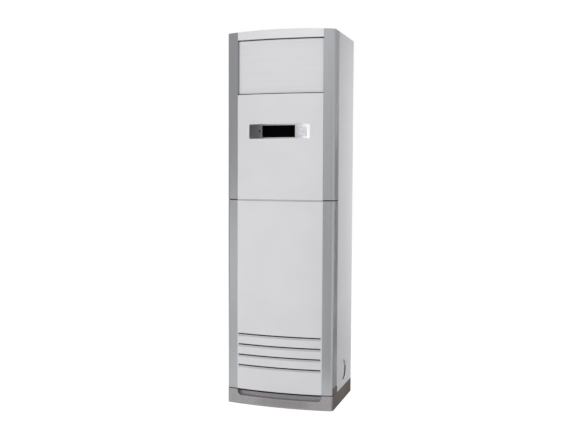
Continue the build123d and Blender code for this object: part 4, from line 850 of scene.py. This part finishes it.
# %% Fins
coil_foot = Vector((0, -0.075, 0.735))
coil_lean = radians(18.2)
coil_length = 0.720
coil_depth = 0.050
coil_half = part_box("coil_fins")[1][0]
fin_pitch = 0.002
fin_thickness = 0.00015
end_room = 0.0005
ripple_height = 0.0003
ripple_count = 4


def coil_point(x, along, across):
    """A point of the leaning coil, from its foot upwards and from its middle to the rear."""
    return coil_foot + Vector((x, along * sin(coil_lean) + across * cos(coil_lean),
                               along * cos(coil_lean) - across * sin(coil_lean)))


def fin_shape():
    """One fin: a grid with small ripples from its front edge to its rear edge."""
    shape = bmesh.new()
    bmesh.ops.create_grid(shape, x_segments=1, y_segments=4 * ripple_count, size=0.5)
    for vertex in shape.verts:
        along = (vertex.co.x + 0.5) * coil_length
        ripple = ripple_height * cos(2 * pi * ripple_count * vertex.co.y)
        vertex.co = coil_point(ripple - coil_half + end_room, along, vertex.co.y * coil_depth)
    return shape


def repeat(piece, name, step, count):
    """Repeat a piece by an Array modifier, a step in metres apart."""
    row = piece.modifiers.new(name, "ARRAY")
    row.use_relative_offset = False
    row.use_constant_offset = True
    row.constant_offset_displace = step
    row.count = count


fins = finish_piece("coil_fins_finished", fin_shape(), "fin_aluminium", "cabinet")
fin_wall = fins.modifiers.new("thickness", "SOLIDIFY")
fin_wall.thickness = fin_thickness
fin_count = int((2 * coil_half - 2 * end_room) / fin_pitch) + 1
repeat(fins, "stack", (fin_pitch, 0, 0), fin_count)
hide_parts("coil_fins")
print("Fins:", fin_count)

# %% [markdown]
# ## The coil's tubes
# Two rows of nine copper tubes run level through all the fins. A straight tube is a cone
# with two equal radii, closed at its ends, turned on its side and set at its place on the
# leaning coil. A curve with a round bevel would serve as well, but needs more steps.

# %% Tubes
tube_radius = 0.00476
tube_pitch = 0.075
row_depth = 0.0125
tubes_in_row = 9

tubes = bmesh.new()
on_its_side = Matrix.Rotation(radians(90), 4, "Y")
for row in (-1, 1):
    for index in range(tubes_in_row):
        along = coil_length / 2 + (index - tubes_in_row // 2) * tube_pitch
        spot = Matrix.Translation(coil_point(0, along, row * row_depth))
        bmesh.ops.create_cone(tubes, segments=20, radius1=tube_radius, radius2=tube_radius,
                              depth=2 * coil_half, cap_ends=True, matrix=spot @ on_its_side)
finish_piece("coil_tubes", tubes, "copper", "cabinet")
print("Tubes:", 2 * tubes_in_row)

# %% [markdown]
# ## The filter net
# The net is woven from threads a third of a millimetre thick. A picture of a net would look
# flat from close by, so the threads are real: upright and level threads are two pieces,
# each one thread repeated by an Array modifier, and they touch where they cross.


# %% Net threads
thread_radius = 0.00015
thread_pitch = 0.002


def thread_set(name, start, run, step, count):
    """Threads of one direction: a six sided rod from start along run, repeated by step."""
    shape = bmesh.new()
    turn = run.to_track_quat("Z", "Y").to_matrix().to_4x4()
    middle = Matrix.Translation(Vector(start) + run / 2)
    bmesh.ops.create_cone(shape, segments=6, radius1=thread_radius, radius2=thread_radius,
                          depth=run.length, cap_ends=True, matrix=middle @ turn)
    threads = finish_piece(name, shape, "filter_net", "filter")
    repeat(threads, "threads", step, count)
    print(name + ":", count)
    return threads


net_low, net_high = (Vector(corner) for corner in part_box("filter_mesh"))
net_size = net_high - net_low
net_front = net_low.y + thread_radius
net_back = net_front + 2 * thread_radius

uprights = thread_set("filter_net_uprights", (net_low.x + thread_pitch / 2, net_front, net_low.z),
                      Vector((0, 0, net_size.z)), (thread_pitch, 0, 0), int(net_size.x / thread_pitch))
thread_set("filter_net_levels", (net_low.x, net_back, net_low.z + thread_pitch / 2),
           Vector((net_size.x, 0, 0)), (0, 0, thread_pitch), int(net_size.z / thread_pitch))
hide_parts("filter_mesh")

# %% [markdown]
# ## Screw heads
# The rear panel's screws are pan heads with a cross recess. Each head starts as a grid of
# five by five cells. Its border is pushed out to a circle, the cells of the cross are
# pressed in, and the rim is drawn down to the sheet. Shaping a grid keeps the cross and the
# round rim in one clean surface, which cutting a cylinder wouldn't. The shares below are
# parts of the head's radius or, for the shoulder, of its rise.


# %% Pan heads
head_radius = 0.0036
head_rise = 0.0014
cross_depth = 0.0008
border_share = 0.9
crown_share = 0.78
inner_share = 0.55
arm_share = 0.1
reach_share = 0.5
wall_share = 0.06
shoulder_share = 0.45


def new_items(made, kind):
    """The points or edges that an extrusion made."""
    return [item for item in made["geom"] if isinstance(item, kind)]


def in_the_cross(face):
    """Whether a cell of the grid belongs to the cross in the middle of the head."""
    middle = face.calc_center_median()
    on_an_arm = min(abs(middle.x), abs(middle.y)) < arm_share * head_radius
    return on_an_arm and middle.length < reach_share * head_radius


def add_head(shape, place):
    """A pan head with a cross recess that faces the rear, standing on place."""
    top = bmesh.ops.create_grid(shape, x_segments=5, y_segments=5, size=head_radius)["verts"]
    faces = list({face for vertex in top for face in vertex.link_faces})
    for vertex in top:
        if max(abs(vertex.co.x), abs(vertex.co.y)) > border_share * head_radius:
            vertex.co = vertex.co.normalized() * head_radius * crown_share
        else:
            vertex.co *= inner_share
    arms = [face for face in faces if in_the_cross(face)]
    rim = {edge for face in faces for edge in face.edges if edge.is_boundary}
    skirt = bmesh.ops.extrude_edge_only(shape, edges=list(rim))
    shoulder = new_items(skirt, bmesh.types.BMVert)
    for vertex in shoulder:
        vertex.co = vertex.co.normalized() * head_radius
        vertex.co.z = -shoulder_share * head_rise
    open_edges = [edge for edge in new_items(skirt, bmesh.types.BMEdge) if edge.is_boundary]
    foot_points = new_items(bmesh.ops.extrude_edge_only(shape, edges=open_edges), bmesh.types.BMVert)
    for vertex in foot_points:
        vertex.co.z = -head_rise
    pressed = bmesh.ops.inset_region(shape, faces=arms, thickness=wall_share * head_radius,
                                     depth=-cross_depth)
    walls = {vertex for face in pressed["faces"] for vertex in face.verts}
    stand = Matrix.Translation(Vector(place) + Vector((0, head_rise, 0)))
    to_the_rear = Matrix.Rotation(radians(-90), 4, "X")
    bmesh.ops.transform(shape, matrix=stand @ to_the_rear,
                        verts=list({*top, *shoulder, *foot_points, *walls}))


print("Head's width in millimetres:", 2000 * head_radius)

# %% [markdown]
# ## Where the screws sit
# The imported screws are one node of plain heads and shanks. Their places are read from it
# instead of being typed again: the points behind the sheet are sorted by side and by
# height, and the middle of each group is where a head stands. The heads' undersides are
# closed and all faces turned outwards at the end.

# %% Heads on the rear panel
head_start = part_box("panel_screws")[1][1] - head_rise
behind_sheet = head_start + 0.0001
heads_by_place = {}
for vertex in nodes["panel_screws"].data.vertices:
    if vertex.co.y > behind_sheet:
        place = (vertex.co.x > 0, round(vertex.co.z, 1))
        heads_by_place.setdefault(place, []).append(vertex.co.copy())

screws = bmesh.new()
for points in heads_by_place.values():
    across = [point.x for point in points]
    height = [point.z for point in points]
    add_head(screws, ((min(across) + max(across)) / 2, head_start, (min(height) + max(height)) / 2))
bmesh.ops.holes_fill(screws, edges=[edge for edge in screws.edges if edge.is_boundary])
bmesh.ops.recalc_face_normals(screws, faces=screws.faces)
heads = finish_piece("panel_screws_finished", screws, slots_by_node["panel_screws"], "cabinet")
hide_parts("panel_screws")
print("Screw heads:", len(heads_by_place))

# %% [markdown]
# ## The lip beside the door
# The guides on which the door runs end in front in a lip that closes the gap beside the
# posts. Only that lip is seen from outside, and it is silver like the posts. It is part of
# the guide's moulding, so its faces are picked by their place.

# %% Silver lip
lip_back = -0.1705
lip_foot = outlet_low - 0.001
repaint("door_guides", "post_silver",
        lambda middle, normal: middle.y < lip_back and middle.z > lip_foot)

# %% [markdown]
# ## Electrics by material
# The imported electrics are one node: on the right a board with its transformer, relays and
# capacitor, on the left a terminal block with brass screws. Each part gets its own finish
# by where it lies: in front of the board, or behind it, where only the pillars are.

# %% Electrics
board_front = -0.1440
board_back = -0.1423
block_right = -0.075
transformer_left = -0.041
transformer_right = 0.006
terminal_front = -0.149
terminal_back = -0.1446
terminal_height = 0.690
terminal_reach = 0.0036

repaint("control_electrics", "inner_black",
        lambda middle, normal: middle.y < board_front and middle.x > block_right)
repaint("control_electrics", "motor_case",
        lambda middle, normal: middle.y < board_front and transformer_left < middle.x < transformer_right)
repaint("control_electrics", "gear_white", lambda middle, normal: middle.x < block_right)
repaint("control_electrics", "brass",
        lambda middle, normal: middle.x < block_right and terminal_front < middle.y < terminal_back
        and abs(middle.z - terminal_height) < terminal_reach)
repaint("control_electrics", "zinc",
        lambda middle, normal: middle.y > board_back and middle.x > block_right)
